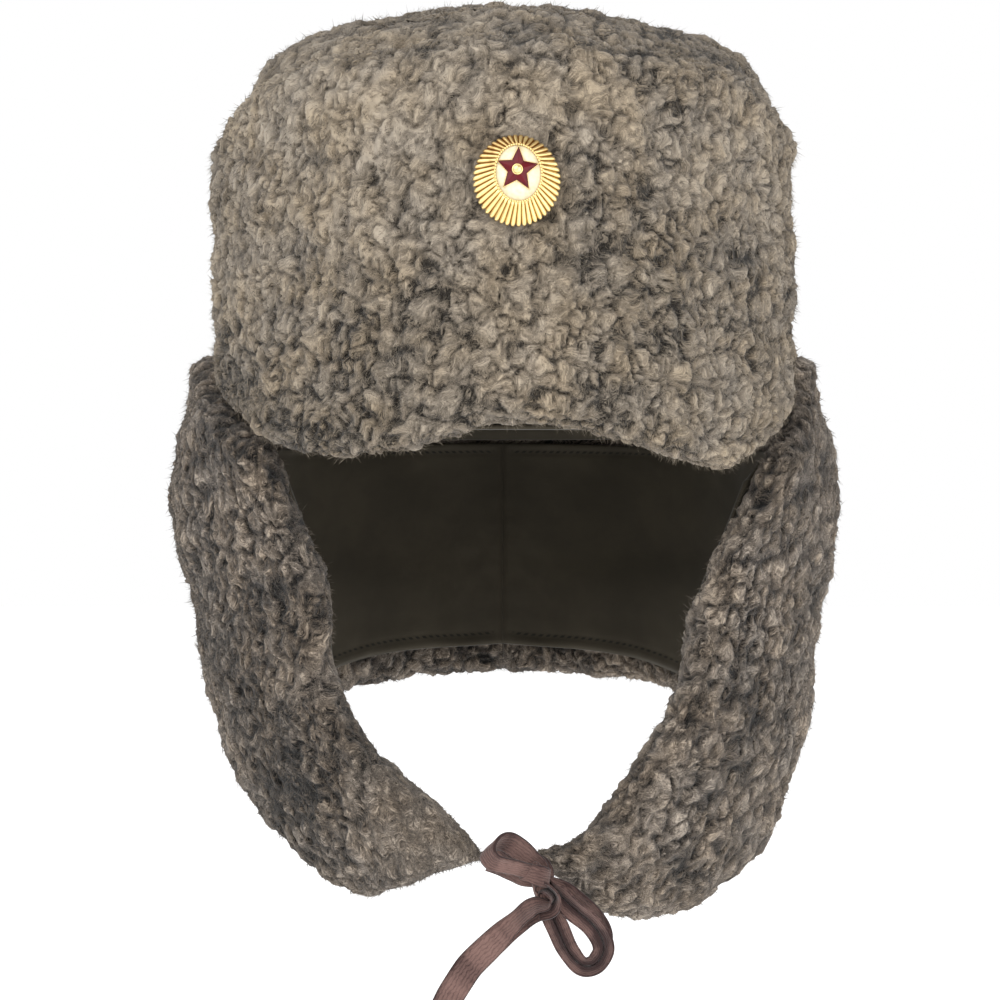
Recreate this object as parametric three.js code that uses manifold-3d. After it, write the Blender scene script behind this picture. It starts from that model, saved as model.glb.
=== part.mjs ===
// Fur earflap cap in its worn form: the front flap stands against the crown, and the ear flaps
// hang down and are tied under the chin with two cotton tapes in a bow.
// Millimetres, +Z up, front towards -Y, origin at the centre of the head opening.
// Left and right are the wearer's: the left side is at +X.
import * as THREE from "three";
import { mergeVertices } from "three/addons/utils/BufferGeometryUtils.js";
import Module from "manifold-3d";

const wasm = await Module();
wasm.setup();

// Driving dimensions
const headHalfWidth = 84.5;
const headHalfLength = 97.5;
const crownHeight = 158.5;
const shoulderHeight = 105;
const shoulderPower = 2.9; // of the rounded corner between the sides and the top
const crownWall = 14; // pile and skin together
const liningWall = 1.2;
const seatGap = 0.4; // between neighbours that rest on each other
const liningGap = 0.95; // between the ear flaps and their lining
const flapWall = 19; // pile, skin and padding of the ear flaps
const frontFlapWall = 16;
const frontFlapGap = 0.6; // between the front flap and the crown
const frontFlapEnd = 72; // degrees from the front
const frontFlapTop = 131;
const frontFlapCornerDrop = 27; // how much lower the top is at the flap's ends
const flapLength = 270; // along an ear flap, from its front edge to the nape
const liningDrop = 9; // from the head opening down to the flap's lining
const napeJoint = 0.0015; // share of each half that stays open at the middle of the nape
const topSharpness = 1.8; // how much tighter the ear flaps' top rim is rounded than their hem
const edgeFlat = 0.8; // half thickness left at a rounded rim
const clothLevel = 0.9; // height up an ear flap at which the ends of its lining are read
const tapeTubeRadius = 2.5;
const tapeSides = 8;
const tapeStep = 6; // length between the rings of a tape

// Rows and columns of the sheets
const frontFlapGrid = { columns: 26, rows: 12 };
const earFlapGrid = { columns: 22, rows: 15 };
const liningGrid = { columns: 18, rows: 10 };
const crownSides = 40;

const crownHalfWidth = headHalfWidth + liningWall + seatGap + crownWall;
const crownHalfLength = headHalfLength + liningWall + seatGap + crownWall;
const radians = Math.PI / 180;

// Lower edge of the front flap, by the angle from the front
const frontFlapHem = [
  { angle: -72, low: 17 },
  { angle: -60, low: 4 },
  { angle: -46, low: -7 },
  { angle: -33, low: -12 },
  { angle: -16, low: -9 },
  { angle: -4, low: -2 },
  { angle: 8, low: -1 },
  { angle: 20, low: -6 },
  { angle: 33, low: -12 },
  { angle: 44, low: -17 },
  { angle: 54, low: -12 },
  { angle: 64, low: 2 },
  { angle: 72, low: 17 },
];

// Plan of the ear flaps at each height: outer half width on each side, and reach to front and back
const flapPlan = [
  { z: -190, right: 60, left: 72, front: 90, back: 96 },
  { z: -165, right: 81.5, left: 97, front: 92, back: 102 },
  { z: -152, right: 90, left: 105, front: 94, back: 105 },
  { z: -140, right: 96.5, left: 108, front: 94, back: 108 },
  { z: -127, right: 104, left: 113, front: 94, back: 111 },
  { z: -104, right: 112, left: 118, front: 93, back: 116 },
  { z: -84, right: 117, left: 120.5, front: 94, back: 120 },
  { z: -66, right: 119, left: 121.5, front: 96, back: 124 },
  { z: -50, right: 124.5, left: 127, front: 99, back: 128 },
  { z: -30, right: 128, left: 128.5, front: 104, back: 131 },
  { z: -6, right: 125.5, left: 127, front: 123, back: 133 },
  { z: 8, right: 120.5, left: 121, front: 132.5, back: 132.5 },
  { z: 30, right: 119.6, left: 119.6, front: 132.5, back: 132.5 },
];

// Front edge of each ear flap: angle from the front, from the top of the edge (0) to its tip (1)
const flapFrontEdge = [
  { drop: 0, right: 49, left: 58 },
  { drop: 0.08, right: 43, left: 48.5 },
  { drop: 0.17, right: 38, left: 42.5 },
  { drop: 0.3, right: 35, left: 39.5 },
  { drop: 0.52, right: 35, left: 34.5 },
  { drop: 0.66, right: 29, left: 27.5 },
  { drop: 0.8, right: 18, left: 20.5 },
  { drop: 0.92, right: 9, left: 12 },
  { drop: 1, right: 4, left: 6 },
];

// Top and bottom edges of the ear flaps and the nape, by the angle from the front
const flapHem = [
  { angle: 0, topRight: -10, topLeft: -10, right: -155, left: -145 },
  { angle: 15, topRight: -12, topLeft: -12, right: -161, left: -167 },
  { angle: 30, topRight: -14, topLeft: -14, right: -168, left: -178 },
  { angle: 46, topRight: -9, topLeft: -19, right: -171, left: -179 },
  { angle: 56, topRight: -1.5, topLeft: -13.5, right: -168, left: -175 },
  { angle: 66, topRight: 7.5, topLeft: 0.5, right: -160, left: -168 },
  { angle: 76, topRight: 17, topLeft: 17, right: -150, left: -158 },
  { angle: 84, topRight: 27, topLeft: 27, right: -143, left: -151 },
  { angle: 110, topRight: 27, topLeft: 27, right: -121, left: -125 },
  { angle: 145, topRight: 27, topLeft: 27, right: -103, left: -104 },
  { angle: 180, topRight: 27, topLeft: 27, right: -98, left: -98 },
];

// Badge: an oval of pleated rays round an enamelled oval with a star
const badge = {
  x: 4.6,
  z: 83.5,
  halfWidth: 15.3,
  halfHeight: 16,
  innerHalfWidth: 8,
  innerHalfHeight: 10.1,
  innerRise: 2.5, // the inner oval sits higher than the outer one
  starRise: 3.7, // and the star higher in it
  lean: 6, // degrees, its top towards the wearer's right
  rays: 46,
  floor: 2.2, // the enamel's seat
  enamel: 0.9,
  starRadius: 7.6,
  starNotch: 0.45, // share of the radius at which the arms meet
  starWall: 1,
  bossRadius: 1.7,
  bossWall: 0.9,
  postRadius: 1.2,
  postLength: 11,
  postFoot: 0.4, // how far the post goes into the rays
  postSides: 10,
  holeMouth: 2.4, // how far the post's hole starts in front of the flap
  holeRoom: 3, // how much longer the hole is than the post
  enamelSides: 24,
  bossSides: 12,
  smallGap: 0.3,
};

// Rings of the rays from the back to the enamel's seat: how much larger than the outer or the inner
// oval, height, and the rays' ripple outwards (share of the size) and upwards
const badgeRings = [
  { oval: "outer", grow: -1, height: 0, reach: 0, pleat: 0 },
  { oval: "outer", grow: 0, height: 0.7, reach: 0.025, pleat: 0 },
  { oval: "outer", grow: -0.5, height: 1.4, reach: 0.025, pleat: 0.35 },
  { oval: "inner", grow: 1.6, height: 3.4, reach: 0, pleat: 0.23 },
  { oval: "inner", grow: 0.7, height: 3.9, reach: 0, pleat: 0 },
  { oval: "inner", grow: 0, height: badge.floor, reach: 0, pleat: 0 },
];

// Profiles of the enamel, the star and the boss: size and height as shares
const domeProfile = [
  { size: 1, rise: 0 },
  { size: 1, rise: 0.5 },
  { size: 0.8, rise: 0.9 },
  { size: 0.3, rise: 1 },
];
const starProfile = [
  { size: 1, rise: 0 },
  { size: 1, rise: 0.5 },
  { size: 0.35, rise: 1 },
];

// Knot of the bow: a rounded lump drawn in near its middle
const knot = {
  x: 14.2,
  y: -99,
  z: -162.5,
  halfWidth: 5.6,
  halfDepth: 5.4,
  halfHeight: 11,
  sides: 12,
  latitudes: [-80, -55, -25, 5, 35, 62, 82],
  waist: 0.22, // share by which it is drawn in
  waistLatitude: -5,
  waistSpread: 16, // degrees
};

// Route of each stretch of tape: the centre line's points
const tapeRoutes = {
  tie_tape_right: [
    { x: -4.6, y: -84.4, z: -156.8 },
    { x: -0.6, y: -88.5, z: -157.8 },
    { x: 3.6, y: -93.5, z: -159.4 },
    { x: 8, y: -97.6, z: -161.4 },
  ],
  tie_tape_left: [
    { x: 9.4, y: -86.6, z: -155.9 },
    { x: 11.4, y: -90, z: -157.8 },
    { x: 14, y: -92.6, z: -158.6 },
  ],
  bow_loop_upper: [
    { x: 10.7, y: -99.5, z: -153.2 },
    { x: 6, y: -101, z: -148.2 },
    { x: 1.6, y: -103, z: -147.4 },
    { x: -3.6, y: -105, z: -148.8 },
    { x: -6.2, y: -107, z: -153 },
    { x: -3.6, y: -107.5, z: -157.2 },
    { x: 2.4, y: -106, z: -159 },
    { x: 9.2, y: -102.8, z: -160.8 },
  ],
  bow_loop_lower: [
    { x: 19.4, y: -101.5, z: -166.7 },
    { x: 26.2, y: -103, z: -172.2 },
    { x: 33.2, y: -103.5, z: -178.6 },
    { x: 36.4, y: -103, z: -186.4 },
    { x: 33.4, y: -102, z: -192 },
    { x: 28.2, y: -101.5, z: -193 },
    { x: 23.2, y: -101.5, z: -188.4 },
    { x: 19.8, y: -102, z: -181.4 },
    { x: 17.1, y: -102.2, z: -175 },
  ],
  tape_end_long: [
    { x: 11.3, y: -101, z: -172.6 },
    { x: 4.8, y: -101, z: -178 },
    { x: -3.2, y: -99, z: -184.6 },
    { x: -11.8, y: -97, z: -193.4 },
    { x: -18, y: -95, z: -203 },
    { x: -22.6, y: -93.5, z: -212 },
  ],
  tape_end_short: [
    { x: 20, y: -95, z: -165.6 },
    { x: 27.6, y: -96, z: -170.6 },
    { x: 35, y: -96.5, z: -177.4 },
    { x: 38.6, y: -96, z: -185 },
    { x: 38, y: -95.5, z: -192 },
  ],
};

const finishes = {
  fur: { color: 0x877c70, roughness: 0.95, metalness: 0 },
  lining: { color: 0x4f4632, roughness: 0.8, metalness: 0 },
  gold: { color: 0xb08d4c, roughness: 0.35, metalness: 0.9 },
  white: { color: 0xe6e0d2, roughness: 0.25, metalness: 0 },
  crimson: { color: 0x8e1a2c, roughness: 0.2, metalness: 0 },
  tape: { color: 0x715a5a, roughness: 0.85, metalness: 0 },
};

// Smooth value of one column of a table at a place between its rows
function readTable(table, key, column, at) {
  const last = table.length - 1;
  const place = THREE.MathUtils.clamp(at, table[0][key], table[last][key]);
  const found = table.findIndex((row) => row[key] >= place);
  const i = Math.max(0, Math.min(last - 1, found - 1));
  const slope = (j) => {
    const before = table[Math.max(0, j - 1)];
    const after = table[Math.min(last, j + 1)];
    return (after[column] - before[column]) / (after[key] - before[key]);
  };
  const step = table[i + 1][key] - table[i][key];
  const t = (place - table[i][key]) / step;
  const rise = t * t * (3 - 2 * t);
  const leave = t * (1 - t) * (1 - t) * step;
  const arrive = t * t * (t - 1) * step;
  return (
    table[i][column] * (1 - rise) +
    table[i + 1][column] * rise +
    slope(i) * leave +
    slope(i + 1) * arrive
  );
}

// Values from 0 to 1 that crowd towards the rounded edges
function crowdedBoth(count) {
  return Array.from({ length: count + 1 }, (_, i) => 0.5 - 0.5 * Math.cos((Math.PI * i) / count));
}
function crowdedStart(count) {
  return Array.from({ length: count + 1 }, (_, i) => 1 - Math.cos((Math.PI * i) / (2 * count)));
}
function even(count) {
  return Array.from({ length: count + 1 }, (_, i) => i / count);
}

// A geometry whose faces point out, from points and triangles
function body(points, triangles) {
  let volume = 0;
  for (const [a, b, c] of triangles) {
    volume += points[a].dot(points[b].clone().cross(points[c]));
  }
  const facing = volume > 0 ? triangles : triangles.map(([a, b, c]) => [a, c, b]);
  const geometry = new THREE.BufferGeometry().setFromPoints(points);
  geometry.setIndex(facing.flat());
  geometry.computeVertexNormals();
  return geometry;
}

// A body made of rings of equal count, closed at both ends by a fan to the middle of the end ring
function ringBody(rings) {
  const count = rings[0].length;
  const points = rings.flat();
  const triangles = [];
  for (let r = 0; r + 1 < rings.length; r++) {
    for (let k = 0; k < count; k++) {
      const a = r * count + k;
      const b = r * count + ((k + 1) % count);
      triangles.push([a, b, b + count], [a, b + count, a + count]);
    }
  }
  for (const end of [0, rings.length - 1]) {
    const middle = new THREE.Vector3();
    rings[end].forEach((p) => middle.addScaledVector(p, 1 / count));
    const centre = points.push(middle) - 1;
    for (let k = 0; k < count; k++) {
      const a = end * count + k;
      const b = end * count + ((k + 1) % count);
      triangles.push(end === 0 ? [centre, b, a] : [centre, a, b]);
    }
  }
  return body(points, triangles);
}

// The point at a distance from a surface along its outward normal
function offsetPoint(surface, u, v, distance) {
  const du = 1e-3;
  const along = surface(u + du, v).sub(surface(u - du, v));
  const up = surface(u, v + du).sub(surface(u, v - du));
  const normal = along.cross(up).normalize();
  return surface(u, v).addScaledVector(normal, distance);
}

// A closed sheet over a surface: between the offsets inside(u, v) and outside(u, v)
function closedSheet(surface, us, vs, inside, outside, side = 1) {
  const points = [];
  for (const offset of [inside, outside]) {
    for (const v of vs) {
      for (const u of us) {
        const point = offsetPoint(surface, u, v, offset(u, v));
        points.push(point.setX(point.x * side));
      }
    }
  }
  const wide = us.length;
  const layer = wide * vs.length;
  const triangles = [];
  for (let r = 0; r + 1 < vs.length; r++) {
    for (let c = 0; c + 1 < wide; c++) {
      const a = r * wide + c;
      triangles.push([a, a + wide, a + 1], [a + 1, a + wide, a + wide + 1]);
      const b = a + layer;
      triangles.push([b, b + 1, b + wide], [b + 1, b + wide + 1, b + wide]);
    }
  }
  const rim = [];
  for (let c = 0; c + 1 < wide; c++) rim.push(c);
  for (let r = 0; r + 1 < vs.length; r++) rim.push(r * wide + wide - 1);
  for (let c = wide - 1; c > 0; c--) rim.push((vs.length - 1) * wide + c);
  for (let r = vs.length - 1; r > 0; r--) rim.push(r * wide);
  rim.forEach((a, i) => {
    const b = rim[(i + 1) % rim.length];
    triangles.push([a, b, b + layer], [a, b + layer, a + layer]);
  });
  return body(points, triangles);
}

// Half thickness of a wall whose rim is round, at a distance from the rim
function roundedHalf(wall, distance) {
  const short = Math.min(1, Math.max(0, distance) / (wall / 2));
  return Math.sqrt(Math.max(0, 1 - (1 - short) * (1 - short)));
}

function solidOf(geometry) {
  const bare = geometry.clone();
  bare.deleteAttribute("normal");
  bare.deleteAttribute("uv");
  const merged = mergeVertices(bare, 1e-4);
  const vertProperties = new Float32Array(merged.attributes.position.array);
  const triVerts = new Uint32Array(merged.index.array);
  return new wasm.Manifold(new wasm.Mesh({ numProp: 3, vertProperties, triVerts }));
}

function geometryOf(solid) {
  const mesh = solid.getMesh();
  const geometry = new THREE.BufferGeometry();
  geometry.setAttribute("position", new THREE.BufferAttribute(mesh.vertProperties, 3));
  geometry.setIndex(new THREE.BufferAttribute(mesh.triVerts, 1));
  geometry.computeVertexNormals();
  return geometry;
}

const cap = new THREE.Group();
function add(name, geometry, finish) {
  const mesh = new THREE.Mesh(geometry, new THREE.MeshStandardMaterial(finishes[finish]));
  mesh.name = name;
  cap.add(mesh);
  return mesh;
}

// Crown: how far in it is at a height, and its outer surface by angle and height
function crownScale(z) {
  const u = Math.max(0, (z - shoulderHeight) / (crownHeight - shoulderHeight));
  return Math.pow(Math.max(0, 1 - Math.pow(u, shoulderPower)), 1 / shoulderPower);
}
function crownSurface(angle, z) {
  const k = crownScale(z);
  const a = angle * radians;
  return new THREE.Vector3(crownHalfWidth * k * Math.sin(a), -crownHalfLength * k * Math.cos(a), z);
}

// One ring of the crown, inset from its outer side, at a station of its profile:
// below 1 the straight side, from 1 to 2 the rounded shoulder and the top
function crownRing(station, inset) {
  const halfWidth = crownHalfWidth - inset;
  const halfLength = crownHalfLength - inset;
  const top = crownHeight - inset;
  let k = 1;
  let z = shoulderHeight * station;
  if (station > 1) {
    const turn = (station - 1) * 90 * radians;
    const power = shoulderPower;
    const reach = Math.pow(Math.cos(turn) ** power + Math.sin(turn) ** power, -1 / power);
    k = reach * Math.cos(turn);
    z = shoulderHeight + (top - shoulderHeight) * reach * Math.sin(turn);
  }
  return Array.from({ length: crownSides }, (_, i) => {
    const a = (i / crownSides) * 2 * Math.PI;
    return new THREE.Vector3(halfWidth * k * Math.sin(a), -halfLength * k * Math.cos(a), z);
  });
}

const crownStations = [0.03, 0.35, 0.7, 1, 1.16, 1.32, 1.46, 1.6, 1.76, 1.93];
function crownShell(outerInset, wall) {
  const outer = crownStations.map((station) => crownRing(station, outerInset));
  const rim = [0.3, 0.7].map((share) => crownRing(0, outerInset + wall * share));
  const inner = crownStations.map((station) => crownRing(station, outerInset + wall));
  return ringBody([...outer.reverse(), ...rim, ...inner]);
}

add("crown", crownShell(0, crownWall), "fur");
add("crown_lining", crownShell(crownWall + seatGap, liningWall), "lining");

// Front flap: stands on the crown's front, with its pile outwards
function frontFlapEdges(angle) {
  const share = Math.abs(angle) / frontFlapEnd;
  return {
    low: readTable(frontFlapHem, "angle", "low", angle),
    high: frontFlapTop - frontFlapCornerDrop * share ** 3,
  };
}
function frontFlapSurface(u, v) {
  const angle = (2 * u - 1) * frontFlapEnd;
  const edges = frontFlapEdges(angle);
  return crownSurface(angle, THREE.MathUtils.lerp(edges.low, edges.high, v));
}
function frontFlapHalf(u, v) {
  const angle = (2 * u - 1) * frontFlapEnd;
  const edges = frontFlapEdges(angle);
  const tall = edges.high - edges.low;
  const wide = 2 * frontFlapEnd * radians * crownHalfWidth;
  const sides = roundedHalf(frontFlapWall, Math.min(u, 1 - u) * wide);
  const ends = roundedHalf(frontFlapWall, Math.min(v, 1 - v) * tall);
  return Math.max(edgeFlat, (frontFlapWall / 2) * sides * ends);
}
const frontFlapMiddle = frontFlapGap + frontFlapWall / 2;
const frontFlapSolid = solidOf(
  closedSheet(
    frontFlapSurface,
    crowdedBoth(frontFlapGrid.columns),
    crowdedBoth(frontFlapGrid.rows),
    (u, v) => frontFlapMiddle - frontFlapHalf(u, v),
    (u, v) => frontFlapMiddle + frontFlapHalf(u, v),
  ),
);

// Badge: its own frame has x to the right, y up and z out of the flap
const badgeAngle = Math.asin(badge.x / (crownHalfWidth + frontFlapWall)) / radians;
const flapFace = crownSurface(badgeAngle, badge.z).y - frontFlapMiddle - frontFlapWall / 2;
const badgeFrame = new THREE.Group();
badgeFrame.position.set(badge.x, flapFace - seatGap, badge.z);
badgeFrame.rotation.set(Math.PI / 2, -badge.lean * radians, 0, "YXZ");
cap.add(badgeFrame);
badgeFrame.updateMatrixWorld(true);

function badgeRing({ oval, grow, height, reach, pleat }) {
  const inner = oval === "inner";
  const halfWidth = (inner ? badge.innerHalfWidth : badge.halfWidth) + grow;
  const halfHeight = (inner ? badge.innerHalfHeight : badge.halfHeight) + grow;
  const count = 2 * badge.rays;
  return Array.from({ length: count }, (_, i) => {
    const a = (i / count) * 2 * Math.PI;
    const ridge = i % 2 === 0 ? 1 : -1;
    const size = 1 + reach * ridge;
    return new THREE.Vector3(
      halfWidth * size * Math.cos(a),
      (inner ? badge.innerRise : 0) + halfHeight * size * Math.sin(a),
      height + pleat * ridge,
    );
  });
}
const post = new THREE.CylinderGeometry(
  badge.postRadius,
  badge.postRadius,
  badge.postLength,
  badge.postSides,
);
post.rotateX(Math.PI / 2);
post.translate(0, 0, badge.postFoot - badge.postLength / 2);
const raysGeometry = ringBody(badgeRings.map(badgeRing));
const raysSolid = solidOf(raysGeometry).add(solidOf(post));
const rays = add("badge_rays", geometryOf(raysSolid), "gold");

// A low dome over an outline, whose points are given at size 1
function domeGeometry(outline, profile, low, wall) {
  return ringBody(
    profile.map(({ size, rise }) =>
      outline.map(([x, y]) => new THREE.Vector3(x * size, y * size, low + wall * rise)),
    ),
  );
}
function ovalOutline(halfWidth, halfHeight, sides) {
  return Array.from({ length: sides }, (_, i) => {
    const a = (i / sides) * 2 * Math.PI;
    return [halfWidth * Math.cos(a), halfHeight * Math.sin(a)];
  });
}
function starOutline(radius) {
  return Array.from({ length: 10 }, (_, i) => {
    const a = (i * 36 + 90) * radians;
    const reach = radius * (i % 2 === 0 ? 1 : badge.starNotch);
    return [reach * Math.cos(a), reach * Math.sin(a)];
  });
}
const enamelLow = badge.floor + badge.smallGap;
const enamelOutline = ovalOutline(
  badge.innerHalfWidth - badge.smallGap,
  badge.innerHalfHeight - badge.smallGap,
  badge.enamelSides,
);
const enamel = add(
  "badge_enamel",
  domeGeometry(enamelOutline, domeProfile, enamelLow, badge.enamel),
  "white",
);
const starLow = enamelLow + badge.enamel + badge.smallGap;
const star = add(
  "badge_star",
  domeGeometry(starOutline(badge.starRadius), starProfile, starLow, badge.starWall),
  "crimson",
);
const bossLow = starLow + badge.starWall + badge.smallGap;
const bossOutline = ovalOutline(badge.bossRadius, badge.bossRadius, badge.bossSides);
const boss = add(
  "badge_boss",
  domeGeometry(bossOutline, domeProfile, bossLow, badge.bossWall),
  "gold",
);
for (const piece of [rays, enamel, star, boss]) badgeFrame.add(piece);
enamel.position.y = badge.innerRise;
for (const piece of [star, boss]) piece.position.y = badge.starRise;

// The badge's post goes into a blind hole in the flap
const holeRadius = badge.postRadius + badge.smallGap;
const holeLength = badge.postLength + badge.holeRoom;
const hole = new THREE.CylinderGeometry(holeRadius, holeRadius, holeLength, badge.postSides);
hole.rotateX(Math.PI / 2);
hole.translate(0, 0, badge.holeMouth - holeLength / 2);
hole.applyMatrix4(badgeFrame.matrixWorld);
add("front_flap", geometryOf(frontFlapSolid.subtract(solidOf(hole))), "fur");

// Ear flaps: each half reaches from its front edge to the middle of the nape. Both are worked out
// on the left, u from front to back and v from the hem up, and the right one is turned over.
function earFlapForm(sideName) {
  const topName = sideName === "left" ? "topLeft" : "topRight";
  const angleAt = (u, v) =>
    THREE.MathUtils.lerp(readTable(flapFrontEdge, "drop", sideName, 1 - v), 180, u);
  const edgesAt = (angle) => ({
    low: readTable(flapHem, "angle", sideName, angle),
    high: readTable(flapHem, "angle", topName, angle),
  });
  const surface = (u, v) => {
    const angle = angleAt(u, v);
    const edges = edgesAt(angle);
    const z = THREE.MathUtils.lerp(edges.low, edges.high, v);
    const reach = angle < 90 ? "front" : "back";
    const halfWidth = readTable(flapPlan, "z", sideName, z) - flapWall / 2;
    const halfLength = readTable(flapPlan, "z", reach, z) - flapWall / 2;
    const a = angle * radians;
    return new THREE.Vector3(halfWidth * Math.sin(a), -halfLength * Math.cos(a), z);
  };
  const half = (u, v) => {
    const edges = edgesAt(angleAt(u, v));
    const along = Math.min(v, topSharpness * (1 - v)) * (edges.high - edges.low);
    const round = roundedHalf(flapWall, u * flapLength) * roundedHalf(flapWall, along);
    return Math.max(edgeFlat, (flapWall / 2) * round);
  };
  // The cloth keeps inside the rolled edges, and below the rim of the crown
  const clothPlace = (u, share) => {
    const edges = edgesAt(angleAt(u, clothLevel));
    const tall = edges.high - edges.low;
    const low = flapWall / 2 / tall;
    const high = 1 - Math.max(flapWall / 2, edges.high + liningDrop) / tall;
    return [THREE.MathUtils.lerp(flapWall / 2 / flapLength, 1, u), THREE.MathUtils.lerp(low, high, share)];
  };
  const clothSurface = (u, share) => surface(...clothPlace(u, share));
  return { surface, half, clothSurface };
}

const toNapeJoint = (u) => u * (1 - napeJoint);
for (const [sideName, side] of [
  ["left", 1],
  ["right", -1],
]) {
  const { surface, half, clothSurface } = earFlapForm(sideName);
  const flap = closedSheet(
    surface,
    crowdedStart(earFlapGrid.columns).map(toNapeJoint),
    crowdedBoth(earFlapGrid.rows),
    (u, v) => -half(u, v),
    half,
    side,
  );
  add("ear_flap_" + sideName, flap, "fur");
  const clothFace = -(flapWall / 2 + liningGap);
  const lining = closedSheet(
    clothSurface,
    even(liningGrid.columns).map(toNapeJoint),
    even(liningGrid.rows),
    () => clothFace - liningWall,
    () => clothFace,
    side,
  );
  add("flap_lining_" + sideName, lining, "lining");
}

// Tapes
function tubeGeometry(points, radius) {
  const line = new THREE.CatmullRomCurve3(points.map((p) => new THREE.Vector3(p.x, p.y, p.z)));
  const section = new THREE.Shape();
  for (let i = 0; i < tapeSides; i++) {
    const a = (i / tapeSides) * 2 * Math.PI;
    const move = i === 0 ? "moveTo" : "lineTo";
    section[move](radius * Math.cos(a), radius * Math.sin(a));
  }
  section.closePath();
  const steps = Math.max(4, Math.round(line.getLength() / tapeStep));
  return new THREE.ExtrudeGeometry(section, { steps, extrudePath: line, curveSegments: 1 });
}
for (const [name, points] of Object.entries(tapeRoutes)) {
  add(name, tubeGeometry(points, tapeTubeRadius), "tape");
}

const knotRings = knot.latitudes.map((latitude) => {
  const drawn = Math.exp(-(((latitude - knot.waistLatitude) / knot.waistSpread) ** 2) / 2);
  const size = Math.cos(latitude * radians) * (1 - knot.waist * drawn);
  return Array.from({ length: knot.sides }, (_, i) => {
    const a = (i / knot.sides) * 2 * Math.PI;
    return new THREE.Vector3(
      knot.x + knot.halfWidth * size * Math.cos(a),
      knot.y + knot.halfDepth * size * Math.sin(a),
      knot.z + knot.halfHeight * Math.sin(latitude * radians),
    );
  });
});
add("bow_knot", ringBody(knotRings), "tape");

export default cap;
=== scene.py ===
# %% [markdown]
# # A fur earflap cap
# The cap is built round a fixed frame of plain solids that already has its true size. This file adds
# what the solids can't show: curly sheepskin pile, cloth linings, a stamped badge and two soft tapes
# that are tied in a bow. Every length below is in millimetres and is turned into metres once, when a
# mesh is made. The front of the cap faces -Y, and left and right are the wearer's.

import bmesh
import bpy
import numpy as np
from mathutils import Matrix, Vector


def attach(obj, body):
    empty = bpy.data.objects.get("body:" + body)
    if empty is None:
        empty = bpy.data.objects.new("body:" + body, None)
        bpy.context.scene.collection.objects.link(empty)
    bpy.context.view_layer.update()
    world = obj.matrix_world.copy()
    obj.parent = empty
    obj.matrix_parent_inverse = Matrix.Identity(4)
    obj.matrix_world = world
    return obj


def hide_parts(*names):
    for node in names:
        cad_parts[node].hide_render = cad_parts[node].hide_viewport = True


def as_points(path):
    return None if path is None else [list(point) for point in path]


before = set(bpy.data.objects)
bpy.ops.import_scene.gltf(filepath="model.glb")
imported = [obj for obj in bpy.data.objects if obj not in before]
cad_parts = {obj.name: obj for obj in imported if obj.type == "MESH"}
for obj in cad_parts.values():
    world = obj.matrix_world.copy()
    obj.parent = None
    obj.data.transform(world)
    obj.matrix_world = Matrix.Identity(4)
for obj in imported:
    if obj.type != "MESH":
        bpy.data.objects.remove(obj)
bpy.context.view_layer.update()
MM = 0.001
print("nodes in the frame:", len(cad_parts))


# %% [markdown]
# ## The camera
# The picture was taken straight from the front with a level camera. The lens follows from two facts:
# the camera stands 1.3 m away, and a thousand pixels span 385 mm at the middle of the head.

# %% Camera
camera_distance = 1300.0
picture_span = 385.0
camera_height = -27.0
camera_side = -1.2
sensor = 36.0

camera_data = bpy.data.cameras.new("camera")
camera_data.sensor_width = sensor
camera_data.lens = sensor * camera_distance / picture_span
camera = bpy.data.objects.new("camera", camera_data)
camera.location = (camera_side * MM, -camera_distance * MM, camera_height * MM)
camera.rotation_euler = (np.pi / 2, 0, 0)
bpy.context.collection.objects.link(camera)
bpy.context.scene.camera = camera
print("lens:", round(camera_data.lens, 1), "mm")

# %% [markdown]
# ## Making meshes from arrays
# A piece is a grid of points worked out with numpy. One helper writes the points and faces into a
# Blender mesh in one go, adds any per-point values that its material reads, and says what it made.

# %% Mesh helpers
def unit(vectors):
    """Vectors scaled to length one."""
    return vectors / np.maximum(np.linalg.norm(vectors, axis=-1, keepdims=True), 1e-9)


def slope(value, start, run):
    """Straight slope from 0 at the start to 1 after the run, held at both ends; a fall has a negative run."""
    return np.clip((value - start) / run, 0, 1)


def bell(value, width):
    """Bell curve: 1 at nought, and next to nothing beyond twice the width."""
    return np.exp(-((value / width) ** 2))


def half_round(value):
    """Height of a half circle over the values from -1 to 1."""
    return np.sqrt(np.clip(1 - value**2, 0, 1))


def all_round(count, whole=2 * np.pi):
    """Even steps all round, from nought, in radians or in other parts of a whole turn."""
    return np.arange(count) * whole / count


def point_numbers(rows, columns, start=0):
    """Numbers of the points of a grid."""
    return start + np.arange(rows * columns).reshape(rows, columns)


def rim_of(numbers):
    """Point numbers once round the rim of a grid."""
    return np.concatenate([numbers[0, :-1], numbers[:-1, -1], numbers[-1, :0:-1], numbers[:0:-1, 0]])


def grid_faces(rows, columns, start=0, closed=False):
    """Quads between neighbouring rows and columns of a grid; closed joins the last column to the first."""
    r = np.arange(rows - 1)[:, None]
    c = np.arange(columns if closed else columns - 1)[None, :]
    here = r * columns + c
    right = r * columns + (c + 1) % columns
    quads = np.stack([here, right, right + columns, here + columns], axis=-1)
    return quads.reshape(-1, 4) + start


def band_faces(first, second):
    """Quads all round between two closed rows of point numbers that match."""
    return np.stack([first, np.roll(first, -1, axis=-1), np.roll(second, -1, axis=-1), second], axis=-1)


def fan_faces(ring, centre, turned=False):
    """Triangles from every side of a ring of point numbers to one centre point."""
    after = np.roll(ring, -1)
    middle = np.full(len(ring), centre)
    order = [after, ring, middle] if turned else [ring, after, middle]
    return np.stack(order, axis=-1)


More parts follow.
